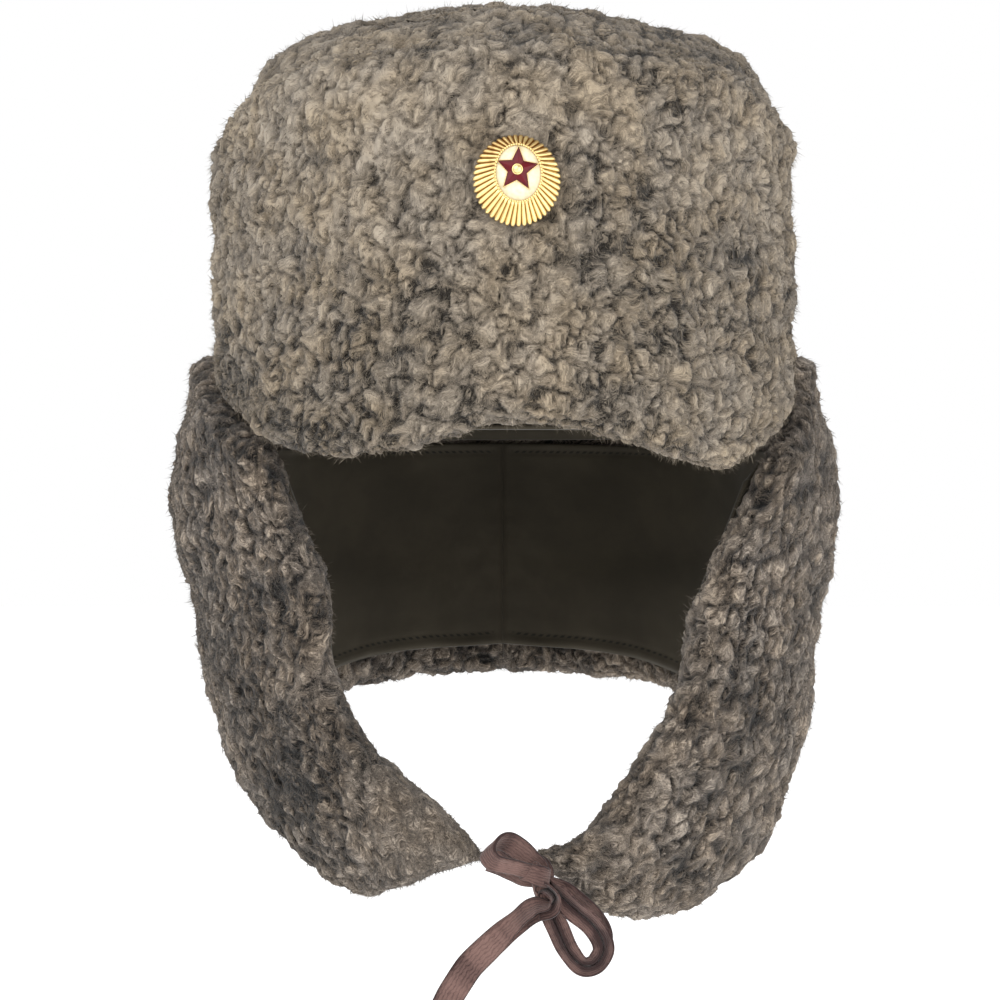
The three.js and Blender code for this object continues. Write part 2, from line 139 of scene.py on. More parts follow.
def tube_faces(rows, columns, ring=False):
    """Faces of closed rows; a ring joins its last row to its first, and a tube closes on two more points."""
    numbers = point_numbers(rows, columns)
    faces = [grid_faces(rows, columns, closed=True)]
    if ring:
        return faces + [band_faces(numbers[-1], numbers[0])]
    return faces + [fan_faces(numbers[0], numbers.size, True), fan_faces(numbers[-1], numbers.size + 1)]


def turn_outwards(piece):
    """Make the faces of a closed piece agree and face outwards."""
    work = bmesh.new()
    work.from_mesh(piece.data)
    bmesh.ops.recalc_face_normals(work, faces=work.faces)
    work.to_mesh(piece.data)
    work.free()


def make_piece(name, points, faces, values=None, closed=True):
    """Mesh object from points in mm and a list of face arrays; values maps attribute names to arrays."""
    mesh = bpy.data.meshes.new(name)
    mesh.vertices.add(len(points))
    mesh.vertices.foreach_set("co", (np.asarray(points) * MM).astype(np.float32).ravel())
    corners = np.concatenate([np.asarray(f).ravel() for f in faces]).astype(np.int32)
    sizes = np.concatenate([np.full(len(f), f.shape[1]) for f in faces])
    mesh.loops.add(len(corners))
    mesh.loops.foreach_set("vertex_index", corners)
    mesh.polygons.add(len(sizes))
    starts = np.concatenate([[0], np.cumsum(sizes)[:-1]]).astype(np.int32)
    mesh.polygons.foreach_set("loop_start", starts)
    mesh.polygons.foreach_set("use_smooth", np.ones(len(sizes), bool))
    mesh.update(calc_edges=True)
    mesh.validate()
    for label, array in (values or {}).items():
        kind = "FLOAT" if array.ndim == 1 else "FLOAT_VECTOR"
        slot = "value" if array.ndim == 1 else "vector"
        mesh.attributes.new(label, kind, "POINT").data.foreach_set(slot, array.astype(np.float32).ravel())
    piece = bpy.data.objects.new(name, mesh)
    bpy.context.collection.objects.link(piece)
    if closed:
        turn_outwards(piece)
    print(name + ":", int((sizes - 2).sum()), "triangles")
    return piece


# %% [markdown]
# ## Reading the pattern tables
# The outlines of the flaps are short tables, the same ones that the frame was built from. A smooth
# curve through the rows gives every value between them.

# %% Tables
def read_table(table, key, column, at):
    """Cubic curve through the rows: each row's slope is that of the line between its neighbours."""
    keys = np.array(table[key], float)
    values = np.array(table[column], float)
    before = np.maximum(np.arange(len(keys)) - 1, 0)
    after = np.minimum(np.arange(len(keys)) + 1, len(keys) - 1)
    slopes = (values[after] - values[before]) / (keys[after] - keys[before])
    at = np.clip(at, keys[0], keys[-1])
    i = np.clip(np.searchsorted(keys, at) - 1, 0, len(keys) - 2)
    step = keys[i + 1] - keys[i]
    t = (at - keys[i]) / step
    rise = t * t * (3 - 2 * t)
    ends = values[i] * (1 - rise) + values[i + 1] * rise
    return ends + step * (slopes[i] * t * (1 - t) ** 2 + slopes[i + 1] * t * t * (t - 1))


front_flap_hem = {
    "angle": [-72, -60, -46, -33, -16, -4, 8, 20, 33, 44, 54, 64, 72],
    "low": [17, 4, -7, -12, -9, -2, -1, -6, -12, -17, -12, 2, 17],
}
flap_plan = {
    "z": [-190, -165, -152, -140, -127, -104, -84, -66, -50, -30, -6, 8, 30],
    "right": [60, 81.5, 90, 96.5, 104, 112, 117, 119, 124.5, 128, 125.5, 120.5, 119.6],
    "left": [72, 97, 105, 108, 113, 118, 120.5, 121.5, 127, 128.5, 127, 121, 119.6],
    "front": [90, 92, 94, 94, 94, 93, 94, 96, 99, 104, 123, 132.5, 132.5],
    "back": [96, 102, 105, 108, 111, 116, 120, 124, 128, 131, 133, 132.5, 132.5],
}
flap_front_edge = {
    "drop": [0, 0.08, 0.17, 0.3, 0.52, 0.66, 0.8, 0.92, 1],
    "right": [49, 43, 38, 35, 35, 29, 18, 9, 4],
    "left": [58, 48.5, 42.5, 39.5, 34.5, 27.5, 20.5, 12, 6],
}
flap_hem = {
    "angle": [0, 15, 30, 46, 56, 66, 76, 84, 110, 145, 180],
    "top_right": [-10, -12, -14, -9, -1.5, 7.5, 17, 27, 27, 27, 27],
    "top_left": [-10, -12, -14, -19, -13.5, 0.5, 17, 27, 27, 27, 27],
    "right": [-155, -161, -168, -171, -168, -160, -150, -143, -121, -103, -98],
    "left": [-145, -167, -178, -179, -175, -168, -158, -151, -125, -104, -98],
}
print("table rows:", len(flap_plan["z"]), len(flap_hem["angle"]))

# %% [markdown]
# ## The surfaces that the pile grows on
# Three smooth surfaces carry all the fur. The crown is an oval tube whose shoulder is a superellipse,
# a shape between an ellipse and a rectangle. The front flap follows the crown at a distance. Each ear
# flap is a curtain whose plan changes with height.

# %% Surfaces
crown_half_width = 100.1
crown_half_length = 113.1
crown_height = 158.5
shoulder_height = 105.0
shoulder_power = 2.9
crown_wall = 14.0
front_flap_wall = 16.0
front_flap_gap = 0.6
front_flap_middle = front_flap_gap + front_flap_wall / 2
front_flap_end = 72.0
front_flap_top = 131.0
front_flap_corner_drop = 27.0
flap_wall = 19.0
flap_length = 270.0
ear_flap_drop = 150.0
front_flap_drop = 135.0
lining_wall = 1.2
lining_gap = 0.95
lining_drop = 3.0
upper_edge_tightness = 1.8


def crown_profile(arc, inset):
    """Inset crown profile: half width share and height at an arc position from 0, the rim, to 2, the top.

    Up to 1 it is the straight side. From 1 to 2 the direction turns by 90 degrees round the shoulder's
    centre, and the superellipse gives the reach in that direction.
    """
    top = crown_height - inset - shoulder_height
    turn = np.clip(arc - 1, 0, 1) * np.pi / 2
    power = shoulder_power
    reach = (np.cos(turn) ** power + np.sin(turn) ** power) ** (-1 / power)
    share = np.where(arc > 1, reach * np.cos(turn), 1.0)
    height = np.where(arc > 1, shoulder_height + top * reach * np.sin(turn), shoulder_height * arc)
    return share, height


def crown_plan(angle, share, z, inset=0.0):
    """Point of the crown's oval plan at an angle in degrees from the front, scaled to a share."""
    a = np.radians(angle)
    x = (crown_half_width - inset) * share * np.sin(a)
    y = -(crown_half_length - inset) * share * np.cos(a)
    return np.stack(np.broadcast_arrays(x, y, z), axis=-1)


def crown_point(angle, arc, inset=0.0):
    """Point of the inset crown at an angle and a profile position."""
    share, height = crown_profile(arc, inset)
    return crown_plan(angle, share, height, inset)


def crown_side(angle, z):
    """Point of the crown's outer side at an angle and a height, the base of the front flap."""
    u = np.maximum(0, (z - shoulder_height) / (crown_height - shoulder_height))
    return crown_plan(angle, np.maximum(0, 1 - u**shoulder_power) ** (1 / shoulder_power), z)


def front_flap_point(u, v):
    """Crown side under the front flap: u runs from the wearer's right to left, v from the hem up."""
    angle = (2 * u - 1) * front_flap_end
    low = read_table(front_flap_hem, "angle", "low", angle)
    high = front_flap_top - front_flap_corner_drop * np.abs(2 * u - 1) ** 3
    return crown_side(angle, low + (high - low) * v)


def ear_flap_place(side_name, u, v):
    """Angle, height and full drop of an ear flap at u from its front edge and v from its hem."""
    front = read_table(flap_front_edge, "drop", side_name, 1 - v)
    angle = front + (180 - front) * u
    high = read_table(flap_hem, "angle", "top_" + side_name, angle)
    low = read_table(flap_hem, "angle", side_name, angle)
    return angle, low + (high - low) * v, high - low


def ear_flap_point(side_name, u, v):
    """Middle of an ear flap's wall, worked out on the left side and turned over for the right."""
    angle, z, _ = ear_flap_place(side_name, u, v)
    half_width = read_table(flap_plan, "z", side_name, z) - flap_wall / 2
    to_front = read_table(flap_plan, "z", "front", z)
    to_back = read_table(flap_plan, "z", "back", z)
    half_length = np.where(angle < 90, to_front, to_back) - flap_wall / 2
    a = np.radians(angle)
    return np.stack([half_width * np.sin(a), -half_length * np.cos(a), z], axis=-1)


def with_normal(surface, u, v):
    """Point and unit normal of a surface."""
    step = 1e-3
    along = surface(u + step, v) - surface(u - step, v)
    up = surface(u, v + step) - surface(u, v - step)
    return surface(u, v), unit(np.cross(along, up))


print("crown's hollow, mm:", *[round(2 * (r - crown_wall), 1) for r in (crown_half_width, crown_half_length)])

# %% [markdown]
# ## Curly pile as a height field
# Sheared sheepskin doesn't show single hairs at arm's length. It shows clumps of small locks, each with
# parallel fibres, that curl against each other with dark pits between. A cell pattern in space gives
# the locks: scattered centres, each with its own direction, and every point of the skin belongs to the
# nearest centre by a stretched distance. As the pattern lives in space, it runs on from one piece to
# the next without a seam.

# %% Locks of the pile
def slow_noise(points, seed, period):
    """Smooth noise from -1 to 1 in space: a sum of six sine waves of random direction near one period."""
    rng = np.random.default_rng(seed)
    total = np.zeros(points.shape[:-1])
    for _ in range(6):
        wave = rng.normal(size=3)
        wave *= 2 * np.pi / (period * rng.uniform(0.7, 1.6) * np.linalg.norm(wave))
        total += np.sin(points @ wave + rng.uniform(0, 2 * np.pi))
    return total / 3.2


def comb_frame(points, normals, seed=5):
    """Two directions in the skin at each point, turned by a slow swirl as combed pile is."""
    fall = np.array([0.3, -0.25, -0.92])
    down = unit(fall - normals * (normals @ fall)[:, None])
    side = np.cross(normals, down)
    swirl = (2.3 * slow_noise(points, seed, 36.0))[:, None]
    return down * np.cos(swirl) + side * np.sin(swirl), side * np.cos(swirl) - down * np.sin(swirl)


lock_turn = 1.5


def lock_field(points, normals, seed, spacing, longer, slimmer):
    """Cell pattern of locks at points on a skin.

    Each cell of a cubic grid holds one centre and four random numbers. The distance to a centre is
    stretched along the direction of its lock, and it counts less along the skin's normal. The result
    holds the nearest distance, the gap to the second nearest, the place along and across the lock,
    and the lock's random numbers.
    """
    rng = np.random.default_rng(seed)
    size = 48
    jitter = rng.uniform(0.08, 0.92, (size**3, 3))
    random = rng.uniform(0, 1, (size**3, 4))
    along_skin, across_skin = comb_frame(points, normals)
    cell = np.floor(points / spacing).astype(int)
    first = np.full(len(points), 9.0)
    second = np.full(len(points), 9.0)
    best = np.zeros(len(points), int)
    place = np.zeros((len(points), 2))
    for shift in np.ndindex(3, 3, 3):
        near = cell + np.array(shift) - 1
        number = (near[:, 0] % size * size + near[:, 1] % size) * size + near[:, 2] % size
        away = points - (near + jitter[number]) * spacing
        turn = lock_turn * (random[number, 0] - 0.5)
        a = np.einsum("ij,ij->i", away, along_skin)
        b = np.einsum("ij,ij->i", away, across_skin)
        deep = np.einsum("ij,ij->i", away, normals)
        along = a * np.cos(turn) + b * np.sin(turn)
        across = b * np.cos(turn) - a * np.sin(turn)
        reach = np.sqrt((along / longer) ** 2 + (across / slimmer) ** 2 + (0.75 * deep) ** 2) / spacing
        nearer = reach < first
        second = np.where(nearer, first, np.minimum(second, reach))
        first = np.where(nearer, reach, first)
        best = np.where(nearer, number, best)
        place[nearer] = np.stack([along, across], axis=-1)[nearer]
    return {"first": first, "gap": second - first, "place": place, "random": random[best]}


def round_lock(field, crease):
    """Height of a lock from 0 to 1: a round back that sinks to a soft crease at its border."""
    back = np.clip(1.05 - field["first"] ** 2, 0, 1) ** 0.5
    return back * (1 - crease * bell(field["gap"], 0.13))


pile_depth = 4.1
lock_columns = ("seed", "spacing", "longer", "slimmer")
lock_kinds = {"clump": (21, 12.0, 1.25, 0.9), "lock": (3, 5.5, 1.3, 0.88), "curl": (8, 2.7, 1.4, 0.8)}
lock_shares = {"clump": 0.28, "lock": 0.54, "curl": 0.18}


def bent_points(points):
    """Points moved by two slow noises, so that the borders of the locks are curved."""
    bend = np.stack([slow_noise(points, 31 + k, 9.0) for k in range(3)], axis=-1)
    ripple = np.stack([slow_noise(points, 41 + k, 3.4) for k in range(3)], axis=-1)
    return points + 2.1 * bend + 0.3 * ripple


def pile(points, normals, calm):
    """Height in mm, lean direction, height share and shader values of the pile at points of a skin.

    Clumps of about 12 mm hold locks of 6 mm, and these hold smaller curls. Each is a round back with a
    crease at its border, and a slow noise makes the creases deeper here and shallower there. calm,
    from 0 to 1, flattens the locks where the pile is brushed smooth.
    """
    bent = bent_points(points)
    fields = [lock_field(bent, normals, **dict(zip(lock_columns, kind))) for kind in lock_kinds.values()]
    clump, lock, curl = fields
    deep = np.clip(0.6 + 0.5 * slow_noise(points, 55, 7.0), 0.15, 1)
    body = round_lock(lock, 0.85 * deep) * (0.7 + 0.3 * lock["random"][:, 1])
    fine = round_lock(curl, 0.7) * (0.65 + 0.35 * curl["random"][:, 1])
    height = lock_shares["clump"] * round_lock(clump, 0.95) + lock_shares["lock"] * body
    height = height + lock_shares["curl"] * fine * (0.3 + 0.7 * body)
    height = height + 0.7 * calm * (0.5 + 0.2 * fine - height)
    lumps = 0.9 * slow_noise(points, 77, 42.0) + 0.75 * slow_noise(points, 78, 15.0)
    rise = pile_depth * (height - 0.78) + lumps * (1 - 0.5 * calm)
    along_skin, across_skin = comb_frame(points, normals)
    turn = (lock_turn * (lock["random"][:, 0] - 0.5))[:, None]
    direction = along_skin * np.cos(turn) + across_skin * np.sin(turn)
    mark = lock["random"][:, 2] * 40 + curl["random"][:, 3] * 9
    values = {
        "lock_height": np.clip(height * 1.25, 0, 1),
        "lock_shade": 0.6 * lock["random"][:, 3] + 0.4 * curl["random"][:, 2],
        "lock_comb": np.column_stack([lock["place"], mark]),
    }
    return rise, direction, height, values


test_points = np.column_stack([np.linspace(0, 90, 4000), np.full(4000, -110.0), np.linspace(40, 90, 4000)])
test_normals = np.tile([0.0, -1.0, 0.0], (4000, 1))
print("pile rise, mm:", np.round(np.percentile(pile(test_points, test_normals, 0)[0], [2, 50, 98]), 2))

# %% [markdown]
# ## Rolled edges
# A flap's rim is round, as the pile folds over the edge of the skin. Grid lines are spread evenly by
# the length of the arc: first round the quarter circle of the rim, then along the flat of the flap.

# %% Arc positions
def rolled(count, length, first, last):
    """Shares of a length, even by arc, with a quarter circle of the given radius at each end."""
    start = first * np.pi / 2
    flat = length - first - last
    arc = np.linspace(0, start + flat + last * np.pi / 2, count)
    at = np.clip(arc - start, 0, flat)
    if first:
        at = at + first * (1 - np.cos(np.clip(arc, 0, start) / first))
    if last:
        at = at + last * np.sin(np.clip(arc - start - flat, 0, None) / last)
    return at / length


def round_half(distance, radius):
    """Share of the full half thickness at a distance from a round rim."""
    return half_round(1 - slope(distance, 0, radius))


def closing_faces(long_row, short_row):
    """Triangles that join two rows of point numbers, of which the first has at least as many."""
    step = np.round(np.linspace(0, len(short_row) - 1, len(long_row))).astype(int)
    a = np.stack([long_row[:-1], long_row[1:], short_row[step[:-1]]], axis=-1)
    moved = step[1:] != step[:-1]
    b = np.stack([long_row[1:][moved], short_row[step[1:]][moved], short_row[step[:-1]][moved]], axis=-1)
    return [a, b]


def mesh_normals(points, faces):
    """Unit normals at the points: each face adds its area times its normal to its corners."""
    total = np.zeros((len(points), 3))
    for block in faces:
        last = block.shape[1] - 1
        first_line = points[block[:, 2]] - points[block[:, 0]]
        second_line = points[block[:, last]] - points[block[:, 1]]
        if last == 2:
            first_line = points[block[:, 1]] - points[block[:, 0]]
            second_line = points[block[:, 2]] - points[block[:, 0]]
        normal = np.cross(first_line, second_line)
        for corner in range(last + 1):
            for axis in range(3):
                total[:, axis] += np.bincount(block[:, corner], normal[:, axis], len(points))
    return unit(total)


print("quarter roll of the ear flap:", round(flap_wall / 2 * np.pi / 2, 1), "mm of arc")

# %% [markdown]
# ## Growing pile on a skin
# A skin is a list of base points, faces and a pile amount from 0, bare, to 1. Growing moves each
# point out by the pile's height and along its lean. The values go with the points to the material.
# The flaps share one builder: a fine outer grid, a fine strip that wraps round the rim to the inner
# side, and a coarse grid under the lining, where nobody sees the skin.

# %% Skins
badge = {"x": 4.6, "z": 83.5, "half_width": 15.3, "half_height": 16.0, "lean": 6.0}
flap_corner = np.array([22.0, -92.0, -150.0])
fibre_roots = []
roots_per_point = 0.8
coarse_rows, coarse_columns = 15, 25


def settled(points):
    """The crown's wearer's-left shoulder stands a little fuller, and its top has sagged about 3 mm."""
    x, z = points[:, 0], points[:, 2]
    near = bell(z - 132, 24) * slope(x, 42, 36)
    sag = 0.4 + 1.9 * bell(x + 40, 17) + 2.9 * bell(x - 54, 27)
    drop = sag * slope(z, 118, 26)
    return points + np.column_stack([3.6 * near, 0 * x, 1.6 * near - drop])


def grow(name, points, faces, normals, amount, closings=(), calm=0.0):
    """Piece of pile on a skin; it also keeps roots for loose fibres."""
    rise, direction, height, values = pile(points, normals, calm)
    grown = settled(points) + normals * (rise * amount)[:, None]
    grown += direction * (0.55 * height * amount)[:, None]
    piece = make_piece(name, grown, faces + list(closings), values)
    rng = np.random.default_rng(len(points))
    picked = np.flatnonzero(rng.uniform(0, 1, len(points)) < roots_per_point * amount**2)
    shade = values["lock_shade"][picked]
    fibre_roots.append((name, grown[picked], normals[picked], direction[picked], height[picked], shade))
    return piece


def flap_skin(place, columns, rows, lengths, closed, mirrored=False):
    """Points, faces, normals and closing faces of a flap.

    place(u, v, way) gives the point at shares u and v of the flap, on its outer side for way 1 and its
    inner side for way -1. lengths are its nominal width and drop. The strip follows the rim: ring by
    ring its shares shrink towards the middle, by the distance that a round rim covers.
    """
    wide, tall = lengths
    radius = flap_wall / 2
    u = rolled(columns, wide, radius, radius if closed else 0)
    v = rolled(rows, tall, radius, radius / upper_edge_tightness)
    grid_u, grid_v = np.meshgrid(u, v)
    outer = place(grid_u.ravel(), grid_v.ravel(), 1)
    numbers = point_numbers(rows, columns)
    path = [numbers[0, ::-1], numbers[1:, 0], numbers[-1, 1:]]
    if closed:
        path.append(numbers[-2:0:-1, -1])
    path = np.concatenate(path)
    path_u = grid_u.ravel()[path]
    path_v = grid_v.ravel()[path]
    quarter = radius * np.pi / 2
    arcs = np.concatenate([np.linspace(0, quarter, 13), quarter + np.array([1.5, 3.0])])
    inset = np.where(arcs < quarter, radius * (1 - np.cos(arcs / radius)), radius + arcs - quarter)

    def shrunk(share_u, share_v, distance):
        """Shares of the flap after its rim has moved in by a distance in mm."""
        end = distance / wide if closed else 0
        rise = distance / upper_edge_tightness / tall
        new_u = distance / wide + share_u * (1 - distance / wide - end)
        new_v = distance / tall + share_v * (1 - distance / tall - rise)
        return new_u, new_v

    rings = [place(*shrunk(path_u, path_v, distance), -1) for distance in inset]
    ring_count = len(rings)
    start = len(outer)
    strip = np.concatenate([path, start + np.arange(ring_count * len(path))]).reshape(-1, len(path))
    strip_faces = band_faces(strip[:-1], strip[1:])
    if not closed:
        strip_faces = strip_faces[:, :-1]
    coarse_u, coarse_v = np.meshgrid(np.linspace(0, 1, coarse_columns), np.linspace(0, 1, coarse_rows))
    inner_start = start + ring_count * len(path)
    inner = place(*shrunk(coarse_u.ravel(), coarse_v.ravel(), inset[-1]), -1)
    points = np.concatenate([outer] + rings + [inner])
    inner_numbers = point_numbers(coarse_rows, coarse_columns, inner_start)
    faces = [grid_faces(rows, columns), strip_faces.reshape(-1, 4)]
    faces.append(grid_faces(coarse_rows, coarse_columns, inner_start)[:, ::-1])
    last = strip[-1]
    sides = np.cumsum([0, columns - 1, rows - 1, columns - 1])
    closings = closing_faces(last[sides[0]:sides[1] + 1], inner_numbers[0, ::-1])
    closings += closing_faces(last[sides[1]:sides[2] + 1], inner_numbers[:, 0])
    closings += closing_faces(last[sides[2]:sides[3] + 1], inner_numbers[-1])
    if closed:
        closings += closing_faces(np.append(last[sides[3]:], last[0]), inner_numbers[::-1, -1])
    else:
        ends = np.concatenate([strip[1:, 0], inner_numbers[1:-1, -1], strip[:0:-1, -1]])
        closings += closing_faces(numbers[:, -1], ends)
        closings += [np.array([[strip[-1, 0], inner_numbers[0, -1], inner_numbers[1, -1]]])]
        closings += [np.array([[strip[-1, -1], inner_numbers[-1, -1], inner_numbers[-2, -1]]])]
    if mirrored:
        faces = [block[:, ::-1] for block in faces]
    normals = mesh_normals(points, faces)
    amount = np.ones(len(points))
    amount[inner_start:] = 0
    amount[start + (ring_count - 1) * len(path):inner_start] = 0
    return points, faces, normals, amount, closings


def ear_flap(side_name):
    """Fur of one ear flap; the left one is worked out and the right one is turned over."""
    sign = 1 if side_name == "left" else -1
    turned = np.array([sign, 1, 1])

    def place(u, v, way):
        """Point on the outer or inner side of the flap, whose wall thins out to a round rim."""
        tall = ear_flap_place(side_name, u, v)[2]
        edge = np.minimum(v, upper_edge_tightness * (1 - v)) * tall
        radius = flap_wall / 2
        half = np.maximum(0.5, radius * round_half(u * flap_length, radius) * round_half(edge, radius))
        middle, outwards = with_normal(lambda a, b: ear_flap_point(side_name, a, b), u, v)
        return (middle + outwards * (way * half)[:, None]) * turned

    columns, rows = ((330, 176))
    points, faces, normals, amount, closings = flap_skin(
        place, columns, rows, (flap_length, ear_flap_drop), closed=False, mirrored=sign < 0
    )
    nape = np.abs(points[:, 0]) < 0.02
    normals[nape, 0] = 0
    away = np.linalg.norm(points - flap_corner * turned, axis=1)
    brushed = slope(-points[:, 1], 45, 45) * slope(-points[:, 2], 40, 60)
    strength = 0.2 if side_name == "left" else 0.75
    calm = strength * (np.clip(1.5 - away / 30, 0, 1) + 0.4 * brushed)
    name = "ear_flap_fur_" + side_name
    return grow(name, points, faces, unit(normals), amount, closings, np.clip(calm, 0, 1))


def front_flap():
    """Fur of the front flap, pressed down where the badge sits on it."""
    wide = 2 * np.radians(front_flap_end) * crown_half_width

    def place(u, v, way):
        """Point on the outer or inner side of the flap, which is thin at its rim all round."""
        tall = front_flap_top - 5
        radius = front_flap_wall / 2
        across = round_half(np.minimum(u, 1 - u) * wide, radius)
        half = np.maximum(0.5, radius * across * round_half(np.minimum(v, 1 - v) * tall, radius))
        base, outwards = with_normal(front_flap_point, u, v)
        return base + outwards * (front_flap_middle + way * half)[:, None]

    columns, rows = ((330, 190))
    points, faces, normals, amount, closings = flap_skin(
        place, columns, rows, (wide, front_flap_drop), closed=True
    )
    off = np.hypot((points[:, 0] - badge["x"]) / badge["half_width"],
                   (points[:, 2] - badge["z"]) / (badge["half_height"] + 1))
    pressed = slope(off, 1.22, -0.22) * (points[:, 1] < -100)
    points = points - normals * (1.6 * pressed)[:, None]
    return grow("front_flap_fur", points, faces, normals, amount * (1 - 0.75 * pressed), closings)


fur_pieces = [ear_flap("left"), ear_flap("right"), front_flap()]
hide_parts("ear_flap_left")
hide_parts("ear_flap_right")
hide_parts("front_flap")

# %% [markdown]
# ## The crown
# The crown is sewn from a band and an oval top, and the seam sinks into the pile. The band is a tube
# grid. The top is a square grid that is pressed into the oval, so that its cells stay even and no
# points crowd together in the middle.

# %% Crown skins
def crown_normal(points):
    """Outward normal of the crown, from the gradient of its superellipse."""
    plan = np.column_stack([points[:, 0] / crown_half_width**2, points[:, 1] / crown_half_length**2])
    ratio = np.sqrt(np.maximum((plan * points[:, :2]).sum(axis=1), 1e-12))
    rise = np.clip((points[:, 2] - shoulder_height) / (crown_height - shoulder_height), 0, None)
    steep = np.where(rise > 0, ratio ** (shoulder_power - 1), 1)
    up = rise ** (shoulder_power - 1) / (crown_height - shoulder_height)
    return unit(np.column_stack([plan * (steep / ratio)[:, None], up]))


top_side = 131
around = 4 * (top_side - 1)
ring_start = 1.55
angles = all_round(around, 360)


def crown_band():
    """Fur of the crown's side and shoulder, a closed tube that is plain inside and just over its rim."""
    arcs = np.concatenate([np.linspace(0, 0.16, 7), np.linspace(0.17, 1, 74)])
    arcs = np.concatenate([arcs, np.linspace(1, ring_start, 42)[1:]])
    grid_angle, grid_arc = np.meshgrid(angles, arcs)
    outer = crown_point(grid_angle, grid_arc).reshape(-1, 3)
    inner_arcs = np.linspace(ring_start, 0, 9)
    grid_angle, grid_arc = np.meshgrid(angles, inner_arcs)
    inner = crown_point(grid_angle, grid_arc, crown_wall).reshape(-1, 3)
    points = np.concatenate([outer, inner])
    faces = tube_faces(len(arcs) + len(inner_arcs), around, ring=True)
    normals = np.concatenate([crown_normal(outer), unit(-inner * [1, 1, 0])])
    amount = np.zeros(len(points))
    amount[:len(outer)] = slope(arcs, 0.01, 0.06).repeat(around)
    return grow("crown_band_fur", points, faces, normals, amount)


def crown_top():
    """Fur of the oval top: the square's rings of cells become rings of the oval."""
    line = np.linspace(-1, 1, top_side)
    x, y = np.meshgrid(line, line)
    reach = np.maximum(np.abs(x), np.abs(y))
    slide_x = 45 * x / np.maximum(np.abs(y), 1e-9)
    slide_y = 45 * y / np.maximum(np.abs(x), 1e-9)
    beside = np.where(x > 0, 90 + slide_y, 270 - slide_y)
    angle = np.where(np.abs(y) >= np.abs(x), np.where(y < 0, slide_x, 180 - slide_x), beside)
    angle = np.where(reach == 0, 0, angle)
    arc = 2 - (2 - ring_start) * reach
    outer = crown_point(angle, arc).reshape(-1, 3)
    inner_angles, inner_arcs = angles[::4], np.linspace(ring_start, 1.97, 6)
    grid_angle, grid_arc = np.meshgrid(inner_angles, inner_arcs)
    inner = crown_point(grid_angle, grid_arc, crown_wall).reshape(-1, 3)
    points = np.concatenate([outer, inner, [[0, 0, crown_height - crown_wall]]])
    rim = rim_of(point_numbers(top_side, top_side))
    inner_numbers = point_numbers(len(inner_arcs), len(inner_angles), len(outer))
    faces = [grid_faces(top_side, top_side)]
    closings = [grid_faces(len(inner_arcs), len(inner_angles), len(outer), closed=True)]
    closings += closing_faces(np.append(rim, rim[0]), np.append(inner_numbers[0], inner_numbers[0, 0]))
    closings.append(fan_faces(inner_numbers[-1], len(points) - 1))
    normals = np.concatenate([crown_normal(outer), np.tile([0, 0, -1.0], (len(inner) + 1, 1))])
    amount = np.zeros(len(points))
    amount[:len(outer)] = 1
    return grow("crown_top_fur", points, faces, normals, amount, closings)


fur_pieces += [crown_band(), crown_top()]
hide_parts("crown")
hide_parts("crown")

# %% [markdown]
# ## The tapes and their bow
# Two flat cotton tapes, 8 mm wide, come out of the corners of the ear flaps and meet in a bow under
# the chin. Each is folded lengthwise, so it shows two plies and a thin dark line between them. The
# tape's own line and the direction of its width are given point by point, as a hand would lay it. One
# tape makes the upper loop and the short end, and the other makes the lower loop and the long end.
# A tape bends easily over its flat side, so it makes tight loops that a round cord couldn't.

# %% Tapes
tape_width = 8.0
ply = 0.55
ply_gap = 0.16
tape_step = 0.6
route_columns = ("x", "y", "z", "width_x", "width_y", "width_z", "share", "open")


def route(*rows):
    """Table with named columns from rows of numbers: place, direction to the fold, width share, gap."""
    return {name: [row[k] for row in rows] for k, name in enumerate(route_columns)}


tape_right = route(
    (-4.6, -84.4, -156.8, 0.1, 0.2, 1, 1, 0.3),
    (-0.6, -88.5, -157.8, 0.1, 0.2, 1, 1, 0.3),
    (3.6, -93.5, -159.4, 0.1, 0.1, 1, 0.95, 0.3),
    (8, -97.6, -161.4, 0.1, 0, 1, 0.8, 0.3),
    (13, -98.4, -161.4, 0.4, -0.3, 0.7, 0.6, 0.3),
    (13.4, -98.6, -157.6, 0.55, -0.45, 0.65, 0.7, 0.3),
    (9.4, -98.8, -154.4, 0.55, -0.45, 0.65, 0.9, 0.4),
    (4.6, -99.8, -150.4, 0.55, -0.45, 0.65, 1, 0.5),
    (0.6, -101.4, -148.2, 0.55, -0.5, 0.65, 1, 0.6),
    (-3.4, -104, -149, 0.55, -0.5, 0.65, 0.95, 0.6),
    (-5.6, -106.8, -151.6, 0.55, -0.5, 0.65, 0.95, 0.5),
    (-3.8, -108.4, -154.4, 0.5, -0.5, 0.7, 0.85, 0.4),
    (0.6, -107.6, -156, 0.45, -0.45, 0.75, 0.72, 0.3),
    (6, -105.4, -157.6, 0.35, -0.35, 0.85, 0.65, 0.3),
    (11, -102.6, -159.4, 0.3, -0.3, 0.9, 0.6, 0.3),
    (14.6, -99, -162.8, 0.2, -0.2, 1, 0.6, 0.3),
    (20, -96, -165.6, 0.4, -0.4, 0.8, 0.8, 0.3),
    (27.6, -96, -170.6, 0.5, -0.6, 0.6, 0.9, 0.4),
    (34, -96.5, -177.4, 0.6, -0.6, 0.5, 0.85, 0.4),
    (35.8, -96, -183, 0.8, -0.6, 0.3, 0.75, 0.3),
    (35, -95.5, -188, 0.9, -0.6, 0.1, 0.6, 0.3),
)
